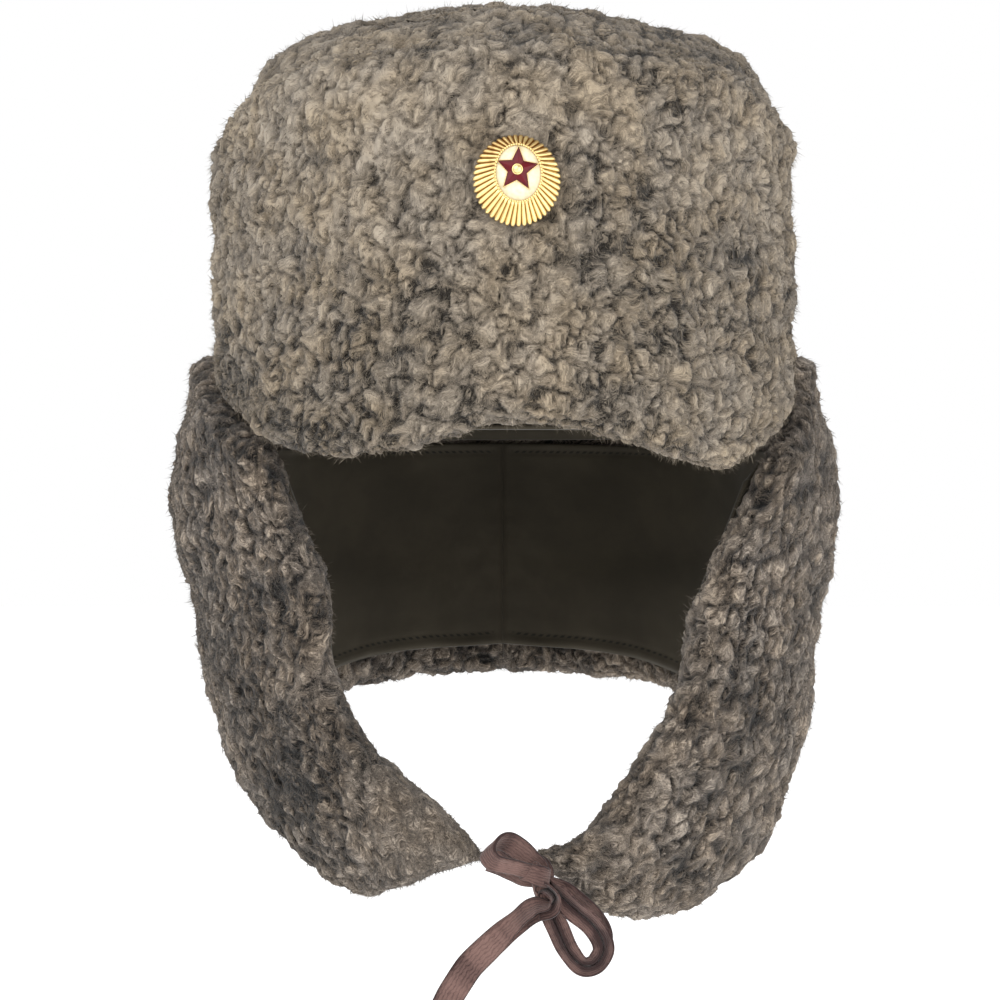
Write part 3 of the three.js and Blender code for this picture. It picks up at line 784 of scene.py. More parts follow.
tape_left = route(
    (9.4, -86.6, -155.9, -0.5, 0.3, 0.8, 0.9, 0.3),
    (11.4, -90, -157.6, -0.3, 0.4, 0.8, 0.85, 0.3),
    (14, -92.8, -158.4, 0, 0.5, 0.8, 0.8, 0.3),
    (15.4, -96.8, -160.8, 0.2, 0.7, 0.5, 0.6, 0.8),
    (16.6, -100.4, -164.2, 0.2, 0.95, 0.2, 0.45, 2),
    (19.6, -101.5, -167.3, 0.15, 0.98, 0.1, 0.42, 3),
    (26, -103, -172.8, 0.1, 0.98, 0.1, 0.44, 3.2),
    (32.6, -103.5, -178.9, 0.1, 0.98, 0.05, 0.46, 3.2),
    (35.6, -103, -186, 0.1, 0.98, 0, 0.46, 3.2),
    (33.2, -102, -191.4, 0, 0.98, -0.1, 0.46, 3),
    (28.4, -101.5, -192.3, 0, 0.98, -0.1, 0.44, 2.8),
    (23.6, -101.5, -188, -0.1, 0.98, -0.05, 0.44, 3),
    (20.2, -102, -181.4, -0.1, 0.98, 0, 0.44, 3.3),
    (17.6, -102.2, -175, -0.1, 0.98, 0, 0.44, 3.2),
    (15.2, -101, -168.8, 0, 0.98, 0, 0.45, 2),
    (13, -101.4, -164.9, 0, 0.98, 0, 0.5, 0.9),
    (15.4, -104.2, -164.6, 0.1, 0.98, 0, 0.6, 1.3),
    (18.3, -105.4, -167.6, 0.1, 0.95, 0.1, 0.6, 1.4),
    (16.6, -105.4, -171, -0.25, 0.8, 0.5, 0.75, 1.7),
    (11.4, -104.2, -171.8, -0.4, 0.65, 0.7, 1, 2),
    (5, -101.6, -176.6, -0.4, 0.45, 0.8, 0.95, 1.6),
    (-3.2, -99, -184.6, -0.6, 0.1, 0.7, 1.1, 0.8),
    (-11.8, -97, -193.4, -0.7, -0.1, 0.6, 1.15, 0.3),
    (-18, -95, -203, -0.8, -0.05, 0.5, 1.15, 0.3),
    (-22.6, -93.5, -212, -0.9, 0, 0.4, 1.1, 0.4),
)
knot_wrap = route(
    (7.8, -101.8, -159.4, 0.45, 0, 0.85, 0.7, 0.3),
    (10.2, -105.2, -159.6, 0.35, 0.05, 0.9, 0.8, 0.4),
    (13.4, -105.6, -160.4, 0.3, 0.1, 0.95, 0.85, 0.5),
    (15.6, -102.4, -161.4, 0.2, 0, 1, 0.8, 0.4),
    (15.2, -97.8, -162, 0.2, -0.1, 1, 0.8, 0.3),
    (12, -95.4, -160.8, 0.2, -0.05, 1, 0.8, 0.3),
    (8.6, -97.6, -159.6, 0.35, 0, 1, 0.75, 0.3),
)


def tape_line(table, closed=False):
    """Evenly spaced points of the tape's own line, its width directions and its share of full width."""
    rows = {name: list(values) for name, values in table.items()}
    if closed:
        rows = {name: values[-2:] + values + values[:3] for name, values in rows.items()}
    knots = np.column_stack([rows["x"], rows["y"], rows["z"]]).astype(float)
    run = np.concatenate([[0], np.cumsum(np.linalg.norm(np.diff(knots, axis=0), axis=1))])
    rows["run"] = run
    low, high = (run[2], run[len(table["x"]) + 2]) if closed else (0, run[-1])
    fine = np.linspace(low, high, 2000)
    line = np.column_stack([read_table(rows, "run", axis, fine) for axis in "xyz"])
    length = np.concatenate([[0], np.cumsum(np.linalg.norm(np.diff(line, axis=0), axis=1))])
    at = np.interp(np.linspace(0, length[-1], int(length[-1] / tape_step) + 1), length, fine)
    line = np.column_stack([read_table(rows, "run", axis, at) for axis in "xyz"])
    wide = np.column_stack([read_table(rows, "run", "width_" + axis, at) for axis in "xyz"])
    if closed:
        at, line, wide = at[:-1], line[:-1], wide[:-1]
    return line, wide, read_table(rows, "run", "share", at), read_table(rows, "run", "open", at), length[-1]


def tape_section():
    """Closed outline of a tape that is folded lengthwise, as places along its width and thickness.

    It runs out along the upper ply to the fold, round it, back along the lower ply and, between the
    plies, to the fold and back. A third column says how far the plies can open there: most at their
    free edges, and to either side of the fold.
    """
    half = tape_width / 2
    across = np.linspace(-1, 1, 11)
    spread = slope(across, 0.3, -1.3) ** 0.8
    fold = np.linspace(np.pi / 2, -np.pi / 2, 7)[1:-1]
    reach = ply + ply_gap
    outer = np.column_stack([across * half, np.full(11, reach), spread])
    bulge = np.column_stack([half + np.cos(fold) * reach, np.sin(fold) * reach, 0 * fold])
    inner = np.column_stack([across[::-1] * (half - 0.1), np.full(11, ply_gap), spread[::-1]])
    lower = np.array([1, -1, -1])
    return np.concatenate([outer, bulge, outer[::-1] * lower, inner[::-1] * lower, inner])


def tape_piece(name, table, closed=False):
    """Sweep the folded section along the line, with soft waves, and close its ends."""
    line, wide, share, opening, length = tape_line(table, closed)
    if closed:
        forward = unit(np.roll(line, -1, axis=0) - np.roll(line, 1, axis=0))
    else:
        forward = unit(np.gradient(line, axis=0))
    wide = unit(wide - forward * np.einsum("ij,ij->i", wide, forward)[:, None])
    thick = np.cross(forward, wide)
    section = tape_section()
    run = np.linspace(0, length, len(line))
    wave = 0.22 * np.sin(run / 3.1 + 0.6) + 0.16 * np.sin(run / 1.9 + 2.0)
    reach = section[:, 0][None, :] * share[:, None]
    lift = section[:, 1][None, :] + wave[:, None] * (section[:, 0] * 2 / tape_width) ** 2
    lift = lift + section[:, 2][None, :] * opening[:, None]
    points = line[:, None] + wide[:, None] * reach[..., None] + thick[:, None] * lift[..., None]
    rows, columns = reach.shape
    flat = points.reshape(-1, 3)
    faces = tube_faces(rows, columns, ring=closed)
    if not closed:
        flat = np.concatenate([flat, line[:1], line[-1:]])
    across = np.zeros((len(flat), 3))
    across[:rows * columns, 0] = np.broadcast_to(section[:, 0], reach.shape).ravel()
    across[:rows * columns, 1] = np.repeat(run, columns)
    across[:rows * columns, 2] = np.broadcast_to(np.abs(section[:, 1]), reach.shape).ravel()
    return make_piece(name, flat, faces, {"tape_place": across}), line, length


tape_a, line_a, length_a = tape_piece("tape_right_cord", tape_right)
tape_b, line_b, length_b = tape_piece("tape_left_cord", tape_left)
wrap = tape_piece("bow_wrap", knot_wrap, closed=True)[0]
knot_centre = (13.0, -99.8, -163.4)
knot_half = (3.4, 3.6, 8.0)
knot_slant = 1.6


def knot_core():
    """Crumpled tape inside the knot: an ellipsoid with a few deep pleats that run down it."""
    rows, columns = 28, 60
    middle_x, middle_y, middle_z = knot_centre
    half_x, half_y, half_z = knot_half
    tilt, turn = np.meshgrid(np.linspace(0, np.pi, rows)[1:-1], all_round(columns))
    tilt, turn = tilt.T, turn.T
    pleat = 1 - 0.13 * np.abs(np.sin(2.5 * turn + 1.4 * np.cos(tilt))) * np.sin(tilt)
    x = middle_x - knot_slant * np.cos(tilt) + half_x * np.sin(tilt) * np.cos(turn) * pleat
    y = middle_y + half_y * np.sin(tilt) * np.sin(turn) * pleat
    z = middle_z + half_z * np.cos(tilt)
    ends = np.array(knot_centre) + np.array([[-knot_slant, 0, half_z], [knot_slant, 0, -half_z]])
    points = np.concatenate([np.stack([x, y, z], axis=-1).reshape(-1, 3), ends])
    place = np.column_stack([points[:, 0] - 14, points[:, 2] + 164, np.ones(len(points))])
    return make_piece("bow_knot_core", points, tube_faces(rows - 2, columns), {"tape_place": place})


core = knot_core()
knot_pieces = [wrap, core]
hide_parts("tie_tape_right", "bow_loop_upper", "tape_end_short")
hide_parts("tie_tape_left", "bow_loop_lower", "tape_end_long")
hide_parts("bow_knot")
for tape, line, length in ((tape_a, line_a, length_a), (tape_b, line_b, length_b)):
    list(line[0] * MM)
    length * MM
    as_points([list(point * MM) for point in line[::2]] + [list(line[-1] * MM)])
print("tape lengths, mm:", round(length_a), round(length_b))

# %% [markdown]
# ## Linings
# The inner side of each flap is lined with smooth cloth. The cloth is cut smaller than the flap,
# turned under and stitched down, so it has a slightly raised hem with a stitched groove. The crown
# has its own lining, quilted in diamonds over thin wadding, as such caps have. The photograph doesn't
# show the crown's inside, so the quilting is a guess.

# %% Lining sheets
def sheet_piece(name, front, back, place):
    """Thin closed cloth from two matching grids of points, its visible side first."""
    rows, columns = front.shape[:2]
    count = rows * columns
    points = np.concatenate([front.reshape(-1, 3), back.reshape(-1, 3)])
    rim = rim_of(point_numbers(rows, columns))
    faces = [grid_faces(rows, columns), grid_faces(rows, columns, count)[:, ::-1]]
    faces.append(band_faces(rim, rim + count))
    spots = np.concatenate([place.reshape(-1, 3), place.reshape(-1, 3)])
    return make_piece(name, points, faces, {"cloth_place": spots})


def grid_area(points):
    """Area in square mm of a grid of points."""
    across = points[1:, 1:] - points[:-1, :-1]
    other = points[1:, :-1] - points[:-1, 1:]
    return np.linalg.norm(np.cross(across, other), axis=-1).sum() / 2


hem_stitch = 4.4


def flap_lining(side_name):
    """Lining of one ear flap: hem ridge, stitched groove and soft wrinkles on an offset of the flap."""
    columns, rows = 110, 60
    share_u, share_v = np.meshgrid(np.linspace(0, 1, columns), np.linspace(0, 1, rows))
    radius = flap_wall / 2
    u = radius / flap_length + share_u * (1 - radius / flap_length)
    _, high, tall = ear_flap_place(side_name, u.ravel(), np.ones(u.size))
    low_v = (radius / tall).reshape(u.shape)
    high_v = (1 - np.maximum(radius, high + lining_drop) / tall).reshape(u.shape)
    v = low_v + (high_v - low_v) * share_v
    middle, outwards = with_normal(
        lambda a, b: ear_flap_point(side_name, a, b), u.ravel(), np.clip(v, 0, 1).ravel()
    )
    drop = ((high_v - low_v) * tall.reshape(u.shape)).ravel()
    from_edge = np.minimum(share_u.ravel() * flap_length, np.minimum(share_v, 1 - share_v).ravel() * drop)
    from_edge = np.minimum(from_edge, (1 - share_u.ravel()) * flap_length + 1)
    hem = 0.45 * bell(from_edge - 1.6, 1.5)
    groove = -0.35 * bell(from_edge - hem_stitch, 0.7)
    fade = np.exp(-from_edge / 22)
    wrinkle = 0.5 * slow_noise(middle * [1, 1, 0.35], 61, 17.0) * (0.35 + fade)
    wrinkle += 0.22 * slow_noise(middle, 62, 7.0) * fade
    lift = 0.35 + hem + groove + wrinkle * slope(from_edge, 0, 3)
    turned = np.array([1 if side_name == "left" else -1, 1, 1])
    inner = middle - outwards * (radius + lining_gap + lining_wall + lift)[:, None]
    outer = middle - outwards * (radius + lining_gap)
    shape = (rows, columns, 3)
    front = (inner * turned).reshape(shape)
    back = (outer * turned).reshape(shape)
    stitch = bell(from_edge - hem_stitch, 0.6)
    place = np.column_stack([u.ravel() * flap_length, v.ravel() * tall, stitch]).reshape(shape)
    piece = sheet_piece("flap_lining_cloth_" + side_name, front, back, place)
    area = grid_area(front) * MM**2
    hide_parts("flap_lining_" + side_name)
    return piece


diamonds_round = 16
diamond_height = 34
wadding = 1.7


def crown_lining():
    """Quilted lining of the crown: a tube that closes over the top, puffed between stitched diamonds."""
    columns, rows = 144, 76
    around_angle, arc = np.meshgrid(all_round(columns, 360), np.linspace(0.012, 1.985, rows))
    out_inset = crown_wall + lining_gap
    outer = crown_point(around_angle, arc, out_inset)
    flat = crown_point(around_angle, arc, out_inset + lining_wall)
    inwards = -crown_normal(flat.reshape(-1, 3)).reshape(flat.shape)
    step = np.linalg.norm(np.diff(flat[:, 0], axis=0), axis=-1)
    run = np.concatenate([[0], np.cumsum(step)])[:, None] * np.ones((1, columns))
    across = around_angle / 360 * diamonds_round
    up = run / diamond_height
    first = np.abs(np.mod(across + up + 0.5, 1) - 0.5)
    second = np.abs(np.mod(across - up + 0.5, 1) - 0.5)
    nearest = np.minimum(first, second)
    calm = slope(arc, 0.12, 0.05) * slope(arc, 1.72, -0.2)
    puff = (1 - bell(nearest, 0.13)) * wadding * calm
    inner = flat + inwards * (0.2 + puff)[..., None]
    turned_inset = np.array([2.5, 8.0, 13.5])[:, None]
    turned = crown_point(all_round(columns, 360), np.zeros((3, 1)), turned_inset)
    inner = np.concatenate([turned - [0, 0, 2.0], inner])
    outer = np.concatenate([turned - [0, 0, 0.6], outer])
    grow_rows = ((3, 0), (0, 0))
    around_angle, run, nearest, calm = [
        np.pad(array, grow_rows, mode="edge") for array in (around_angle, run, nearest, calm)
    ]
    rows = rows + 3
    count = rows * columns
    points = np.concatenate([inner.reshape(-1, 3), outer.reshape(-1, 3)])
    numbers = point_numbers(rows, columns)
    faces = [grid_faces(rows, columns, closed=True), grid_faces(rows, columns, count, closed=True)[:, ::-1]]
    hem = band_faces(numbers[0], numbers[0] + count)
    tip = np.array([inner[-1].mean(axis=0), outer[-1].mean(axis=0)])
    points = np.concatenate([points, tip])
    faces += [hem, fan_faces(numbers[-1], 2 * count), fan_faces(numbers[-1] + count, 2 * count + 1, True)]
    stitch = bell(nearest, 0.02) * calm
    place = np.stack([around_angle / 360 * 560, run, stitch], axis=-1).reshape(-1, 3)
    place = np.concatenate([place, place, place[-2:]])
    piece = make_piece("crown_lining_cloth", points, faces, {"cloth_place": place})
    area = grid_area(np.concatenate([inner, inner[:, :1]], axis=1)) * MM**2
    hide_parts("crown_lining")
    print("crown lining area, square mm:", round(area / MM**2))
    return piece


linings = [flap_lining("left"), flap_lining("right"), crown_lining()]

# %% [markdown]
# ## The badge
# The badge is stamped brass with 46 rounded rays that run out from an oval field. A beaded ring holds
# cream enamel, and a five-pointed star of clear red enamel lies on it with a brass edge. All parts are
# lens-like: rings of points round a middle, closed at the front and at the back.

# %% Badge
badge_out = -130.0


def on_badge(x, y, out):
    """Badge place, right, up and out of the flap, as a point of the cap; the badge leans a little."""
    lean = np.radians(badge["lean"])
    side = x * np.cos(lean) - y * np.sin(lean)
    up = x * np.sin(lean) + y * np.cos(lean)
    return np.stack([badge["x"] + side, badge_out - out, badge["z"] + up], axis=-1)


def lens_piece(name, x, y, out, relief):
    """Closed piece from rings of badge points, from the middle of its face round to its back."""
    rows, columns = x.shape
    rings = on_badge(x, y, out).reshape(-1, 3)
    ends = on_badge(x[[0, -1]].mean(axis=1), y[[0, -1]].mean(axis=1), out[[0, -1]].mean(axis=1))
    values = {"relief": np.concatenate([relief.ravel(), relief[[0, -1], 0]])}
    return make_piece(name, np.concatenate([rings, ends]), tube_faces(rows, columns), values)


inner_wide = 8.25
inner_high = 10.1
inner_rise = 2.5
inner_side = 0.8
star_rise = 3.7
star_side = 0.6
star_turn = np.radians(10.0)
ray_count = 46
points_per_ray = 12
bead_count = 60
points_per_bead = 8
tube_points = 10


def badge_rays():
    """Rays: across a ray the height is a half circle, and along it the ray widens and falls outwards."""
    share = np.concatenate([[0.0, 0.02], np.linspace(0.05, 0.93, 16), [0.96, 0.98, 0.992, 1.0]])
    turn = all_round(ray_count * points_per_ray)
    s, t = np.meshgrid(share, turn, indexing="ij")
    in_ray = np.mod(t * ray_count / (2 * np.pi), 1) * 2 - 1
    ridge = half_round(in_ray)
    tip = half_round(slope(s, 0.92, 0.08))
    reach = s * (1 - 0.16 * np.abs(in_ray) ** 3 * slope(s, 0.55, 0.45))
    x = (inner_wide + (badge["half_width"] - inner_wide) * reach) * np.sin(t) + inner_side * (1 - reach)
    y = (inner_high + (badge["half_height"] - inner_high) * reach) * np.cos(t) + inner_rise * (1 - reach)
    rise = 3.5 - 2.1 * s**1.15 + 0.9 * (ridge - 0.5) * slope(s, 0, 0.12)
    out = 0.5 + (rise - 0.5) * (0.35 + 0.65 * tip)
    back_x = np.stack([x[-1] * 0.995, x[-1] * 0.5], axis=0)
    back_y = np.stack([y[-1] * 0.995, y[-1] * 0.5], axis=0)
    seat = np.array([[0.3], [0.96]])
    all_x = np.concatenate([seat * x[:1] + (1 - seat) * inner_side, x, back_x])
    all_y = np.concatenate([seat * y[:1] + (1 - seat) * inner_rise, y, back_y])
    all_out = np.concatenate([0 * x[:2] + 2.2, out, 0 * back_x + 0.15])
    # Painted highlight on each ray's crest and painted shade on the upper rays, which face up: the value
    # falls from the bottom of the badge to its top.
    polish_and_painted_light = ridge * (0.72 - 0.28 * np.cos(t))
    relief = np.concatenate([0 * x[:2], polish_and_painted_light, 0 * back_x])
    return lens_piece("badge_rays_brass", all_x, all_y, all_out, relief)


def beaded_ring():
    """Ring of beads round the oval field: a tube whose radius swells at each bead."""
    turn = all_round(bead_count * points_per_bead)
    c, t = np.meshgrid(all_round(tube_points), turn, indexing="ij")
    swell = half_round(np.mod(t * bead_count / (2 * np.pi), 1) * 2 - 1)
    radius = 0.2 + 0.24 * swell
    x = (inner_wide - 0.15 + radius * np.cos(c)) * np.sin(t) + inner_side
    y = (inner_high - 0.15 + radius * np.cos(c)) * np.cos(t) + inner_rise
    out = 3.55 + radius * np.sin(c)
    points = on_badge(x, y, out).reshape(-1, 3)
    return make_piece("badge_beads", points, tube_faces(*x.shape, ring=True), {"relief": swell.ravel()})


def domed_piece(name, profile, steps, outline, centre, relief):
    """Dome on the badge: scaled copies of an outline, one for each row of share and height."""
    share, height = np.array(profile).T
    s, t = np.meshgrid(share, all_round(steps), indexing="ij")
    x, y = outline(t)
    out = np.repeat(height[:, None], steps, axis=1)
    return lens_piece(name, s * x + centre[0], s * y + centre[1], out, relief(s))


def oval(half_width, half_height):
    """Outline of an oval as a function of the turn from its top."""
    return lambda t: (half_width * np.sin(t), half_height * np.cos(t))


def star(radius):
    """Outline of a slightly narrow five-pointed star as a function of the turn from its top point."""
    sector = 2 * np.pi / 5
    notch = 0.47 * radius
    notch_x, notch_y = notch * np.cos(sector / 2), notch * np.sin(sector / 2)

    def outline(t):
        """Star's edge at a turn: a straight line from each point to the notch beside it."""
        away = np.abs(np.mod(t + sector / 2, sector) - sector / 2)
        edge = radius * notch_y / (np.cos(away) * notch_y + np.sin(away) * (radius - notch_x))
        return 0.94 * edge * np.sin(t + star_turn), edge * np.cos(t + star_turn)

    return outline


def plain_relief(share):
    """Relief that grows from the middle outwards."""
    return share


def boss_relief(share):
    """Relief that is bright but for the groove inside the rim."""
    return 1 - 0.9 * bell(share - 0.7, 0.05)


oval_centre = (inner_side, inner_rise)
star_centre = (star_side, star_rise)
dome_shares = np.linspace(0.06, 0.95, 12)
enamel_profile = [(share, 3.35 - 0.35 * share**2) for share in dome_shares]
enamel_profile += [(1, 2.9), (1, 2.3), (0.5, 2.25)]
edge_profile = [(0.1, 3.5), (0.86, 3.6), (0.92, 3.95), (0.955, 4.2), (0.98, 4.1), (1, 3.8)]
edge_profile += [(0.98, 3.3), (0.3, 3.3)]
star_profile = [(0.05, 4.75), (0.5, 4.45), (0.9, 4.22), (1, 4.12), (1, 3.65), (0.3, 3.6)]
boss_profile = [(0.08, 5.2), (0.4, 5.08), (0.6, 4.9), (0.7, 4.75), (0.76, 4.95), (0.84, 5.02), (0.94, 4.9)]
boss_profile += [(1, 4.6), (1, 3.9), (0.5, 3.9)]
brass_pieces = [
    badge_rays(),
    beaded_ring(),
    domed_piece("badge_boss_brass", boss_profile, 48, oval(2, 2), star_centre, boss_relief),
    domed_piece("badge_star_edge", edge_profile, 200, star(8.5), star_centre, plain_relief),
]
enamel_oval = oval(inner_wide - 0.25, inner_high - 0.25)
cream_piece = domed_piece("badge_enamel_cream", enamel_profile, 96, enamel_oval, oval_centre, plain_relief)
red_piece = domed_piece("badge_star_enamel", star_profile, 200, star(8.0), star_centre, plain_relief)
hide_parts("badge_rays")
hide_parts("badge_boss")
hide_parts("badge_enamel")
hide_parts("badge_star")

# %% [markdown]
# ## Loose fibres
# Single fibres stand out of the locks and make the outline soft. Each is a narrow blade, a single long
# triangle that starts in the pile and runs out between the normal and its lock's direction. So many
# are needed that each has to be as light as it can be.

# %% Fibres
def fibres(name, chosen, seed, most):
    """Blades on the kept roots of the chosen skins, at most so many."""
    picked = [entry[1:] for entry in fibre_roots if entry[0] in chosen]
    arrays = [np.concatenate(column) for column in zip(*picked)]
    rng = np.random.default_rng(seed)
    count = len(arrays[0])
    if count > most:
        keep = rng.permutation(count)[:most]
        arrays = [array[keep] for array in arrays]
        count = most
    roots, normals, directions, heights, shades = arrays
    loose = rng.normal(size=(count, 3))
    out = unit(0.42 * normals + 0.85 * directions + 0.33 * loose)
    length = (rng.uniform(1.3, 3.6, count) * (0.5 + 0.7 * heights))[:, None]
    side = unit(np.cross(out, rng.normal(size=(count, 3)))) * (0.13 * rng.uniform(0.6, 1.3, count))[:, None]
    root = roots - 0.5 * normals
    points = np.stack([root - side, root + side, root + out * (length + 0.5)], axis=1)
    blades = np.arange(count * 3).reshape(-1, 3)
    values = {"fibre_shade": np.repeat(shades, 3), "fibre_along": np.tile([0, 0, 1.0], count)}
    return make_piece(name, points.reshape(-1, 3), [blades], values, closed=False)


fibre_pieces = [
    fibres("flap_fibres_left", ["ear_flap_fur_left"], 1, 44000),
    fibres("flap_fibres_right", ["ear_flap_fur_right"], 2, 44000),
    fibres("front_flap_fibres", ["front_flap_fur"], 3, 44000),
    fibres("crown_fibres", ["crown_band_fur", "crown_top_fur"], 4, 48000),
]

# %% [markdown]
# ## Materials
# Shared effects are node groups with named inputs and outputs. They read each piece's own values, so
# a lock's fibres follow that lock. A value of a node tree is wrapped, so that plain arithmetic with it
# adds the maths nodes, and a formula reads as it is written. Colours are given as the eye sees them and
# turned into the linear values that light is reckoned in.

# %% Node helpers
def linear(red, green, blue):
    """Linear colour from values of 0 to 255 as seen on a screen."""
    seen = np.array([red, green, blue]) / 255
    light = np.where(seen < 0.04045, seen / 12.92, ((seen + 0.055) / 1.055) ** 2.4)
    return (*[float(value) for value in light], 1.0)


class Value:
    """Output of a node; sums, differences and products of it are maths nodes in its tree."""

    def __init__(self, socket):
        self.socket = socket

    def maths(self, how, first, second=0.0):
        """Result of a maths node."""
        return Value(node("Math", {0: first, 1: second}, operation=how)[0])

    def __add__(self, other):
        return self.maths("ADD", self, other)

    def __sub__(self, other):
        return self.maths("SUBTRACT", self, other)

    def __rsub__(self, other):
        return self.maths("SUBTRACT", other, self)

    def __mul__(self, other):
        return self.maths("MULTIPLY", self, other)

    def __abs__(self):
        return self.maths("ABSOLUTE", self)

    __radd__ = __add__
    __rmul__ = __mul__


def node(kind, inputs, tree=None, **settings):
    """Outputs of a new node; an input is a plain number or a value to link, in whose tree the node is."""
    if tree is None:
        tree = next(value.socket.id_data for value in inputs.values() if isinstance(value, Value))
    item = tree.nodes.new("ShaderNode" + kind)
    for label, setting in settings.items():
        setattr(item, label, setting)
    for label, value in inputs.items():
        if isinstance(value, Value):
            tree.links.new(value.socket, item.inputs[label])
        else:
            item.inputs[label].default_value = value
    return item.outputs


def sine(value):
    """Sine of a value in radians."""
    return value.maths("SINE", value)


def ramp(value, low, high, to_low=0.0, to_high=1.0):
    """Value carried smoothly from one range to another."""
    inputs = {"Value": value, "From Min": low, "From Max": high, "To Min": to_low, "To Max": to_high}
    return Value(node("MapRange", inputs, interpolation_type="SMOOTHSTEP")["Result"])


def blend(share, first, second):
    """Mix of two colours."""
    return Value(node("Mix", {0: share, 6: first, 7: second}, data_type="RGBA")[2])


def own(tree, label, part="Fac"):
    """A value that the piece keeps at its points."""
    return Value(node("Attribute", {}, tree, attribute_name=label)[part])


def object_place(tree):
    """Place on the piece in metres."""
    return Value(node("TexCoord", {}, tree)["Object"])


def joined(x, y, z):
    """Vector from three values."""
    return Value(node("CombineXYZ", {"X": x, "Y": y, "Z": z})[0])


def parts(vector):
    """The three values of a vector."""
    return [Value(socket) for socket in node("SeparateXYZ", {0: vector})]


def noise(vector, scale, detail=3.0, rough=0.55):
    """Noise from 0 to 1."""
    inputs = {"Vector": vector, "Scale": scale, "Detail": detail, "Roughness": rough}
    return Value(node("TexNoise", inputs)["Fac"])


def new_group(name, colours, amounts=()):
    """Node group and its inputs by name: some colours and some numbers."""
    tree = bpy.data.node_groups.new(name, "ShaderNodeTree")
    for label in (*colours, *amounts):
        kind = "Color" if label in colours else "Float"
        tree.interface.new_socket(name=label, in_out="INPUT", socket_type="NodeSocket" + kind)
    start = tree.nodes.new("NodeGroupInput").outputs
    return tree, {label: Value(start[label]) for label in (*colours, *amounts)}


def finish_group(tree, colour, roughness, relief=None):
    """Give a group its outputs: a colour, a roughness and, where there is one, a bump height."""
    results = {"Base Color": colour, "Roughness": roughness}
    if relief:
        results["Bump Height"] = relief
    for label in results:
        kind = "Color" if label == "Base Color" else "Float"
        tree.interface.new_socket(name=label, in_out="OUTPUT", socket_type="NodeSocket" + kind)
    end = tree.nodes.new("NodeGroupOutput").inputs
    for label, value in results.items():
        tree.links.new(value.socket, end[label])
    return tree


def new_material(name, tree_group, given, constants, bump=None):
    """Material whose shader reads a group; bump is the strength and depth in mm of its bump height."""
    material = bpy.data.materials.new(name)
    material.use_nodes = True
    tree = material.node_tree
    shader = tree.nodes["Principled BSDF"]
    part = tree.nodes.new("ShaderNodeGroup")
    part.node_tree = tree_group
    for label, value in given.items():
        part.inputs[label].default_value = linear(*value) if isinstance(value, tuple) else value
    for label in ("Base Color", "Roughness"):
        tree.links.new(part.outputs[label], shader.inputs[label])
    for label, value in constants.items():
        shader.inputs[label].default_value = value
    if bump:
        height = Value(part.outputs["Bump Height"])
        normal = node("Bump", {"Strength": bump[0], "Distance": bump[1] * MM, "Height": height})["Normal"]
        tree.links.new(normal, shader.inputs["Normal"])
    return material


# %% [markdown]
# ### Sheepskin
# In a lock the pit is darkest, as painted shade, and the crest is lightest, as painted light. Streaks
# run along the fibres: noise that is stretched along the lock and squeezed across it, with a slight
# wave. Two slow noises in space add the dull and warm patches of a worn hat. A table of zones paints
# shade at the cap's foot and on top, paints light on the wearer's right side of the crown and on the
# wearer's left flap, and makes the tip of the wearer's right flap lighter.

# %% Pile material
zone_columns = ("low", "high", "to_low", "to_high")
# The foot and top zones paint shade, and the crown-side and flap-side zones paint light; the tip zones
# lighten the tip of the wearer's right flap.
zones = {
    "painted_shade_foot": (0.085, 0.0, 0.05, 0.28),
    "top": (0.11, 0.15, 0.0, 0.22),
    "flaps": (0.05, -0.01, 0.0, 1.0),
    "painted_light_crown_side": (0.03, -0.07, 0.0, 0.16),
    "painted_light_flap_side": (-0.06, 0.06, -0.01, 0.16),
    "tip_outside": (-0.065, -0.035, 0.0, 1.0),
    "tip_inside": (-0.012, 0.0, 0.0, 1.0),
    "tip_drop": (-0.11, -0.14, 0.0, 0.15),
}


def zone(value, name):
    """Amount of a zone of the cap at a height or a side, in metres."""
    return ramp(value, **dict(zip(zone_columns, zones[name])))


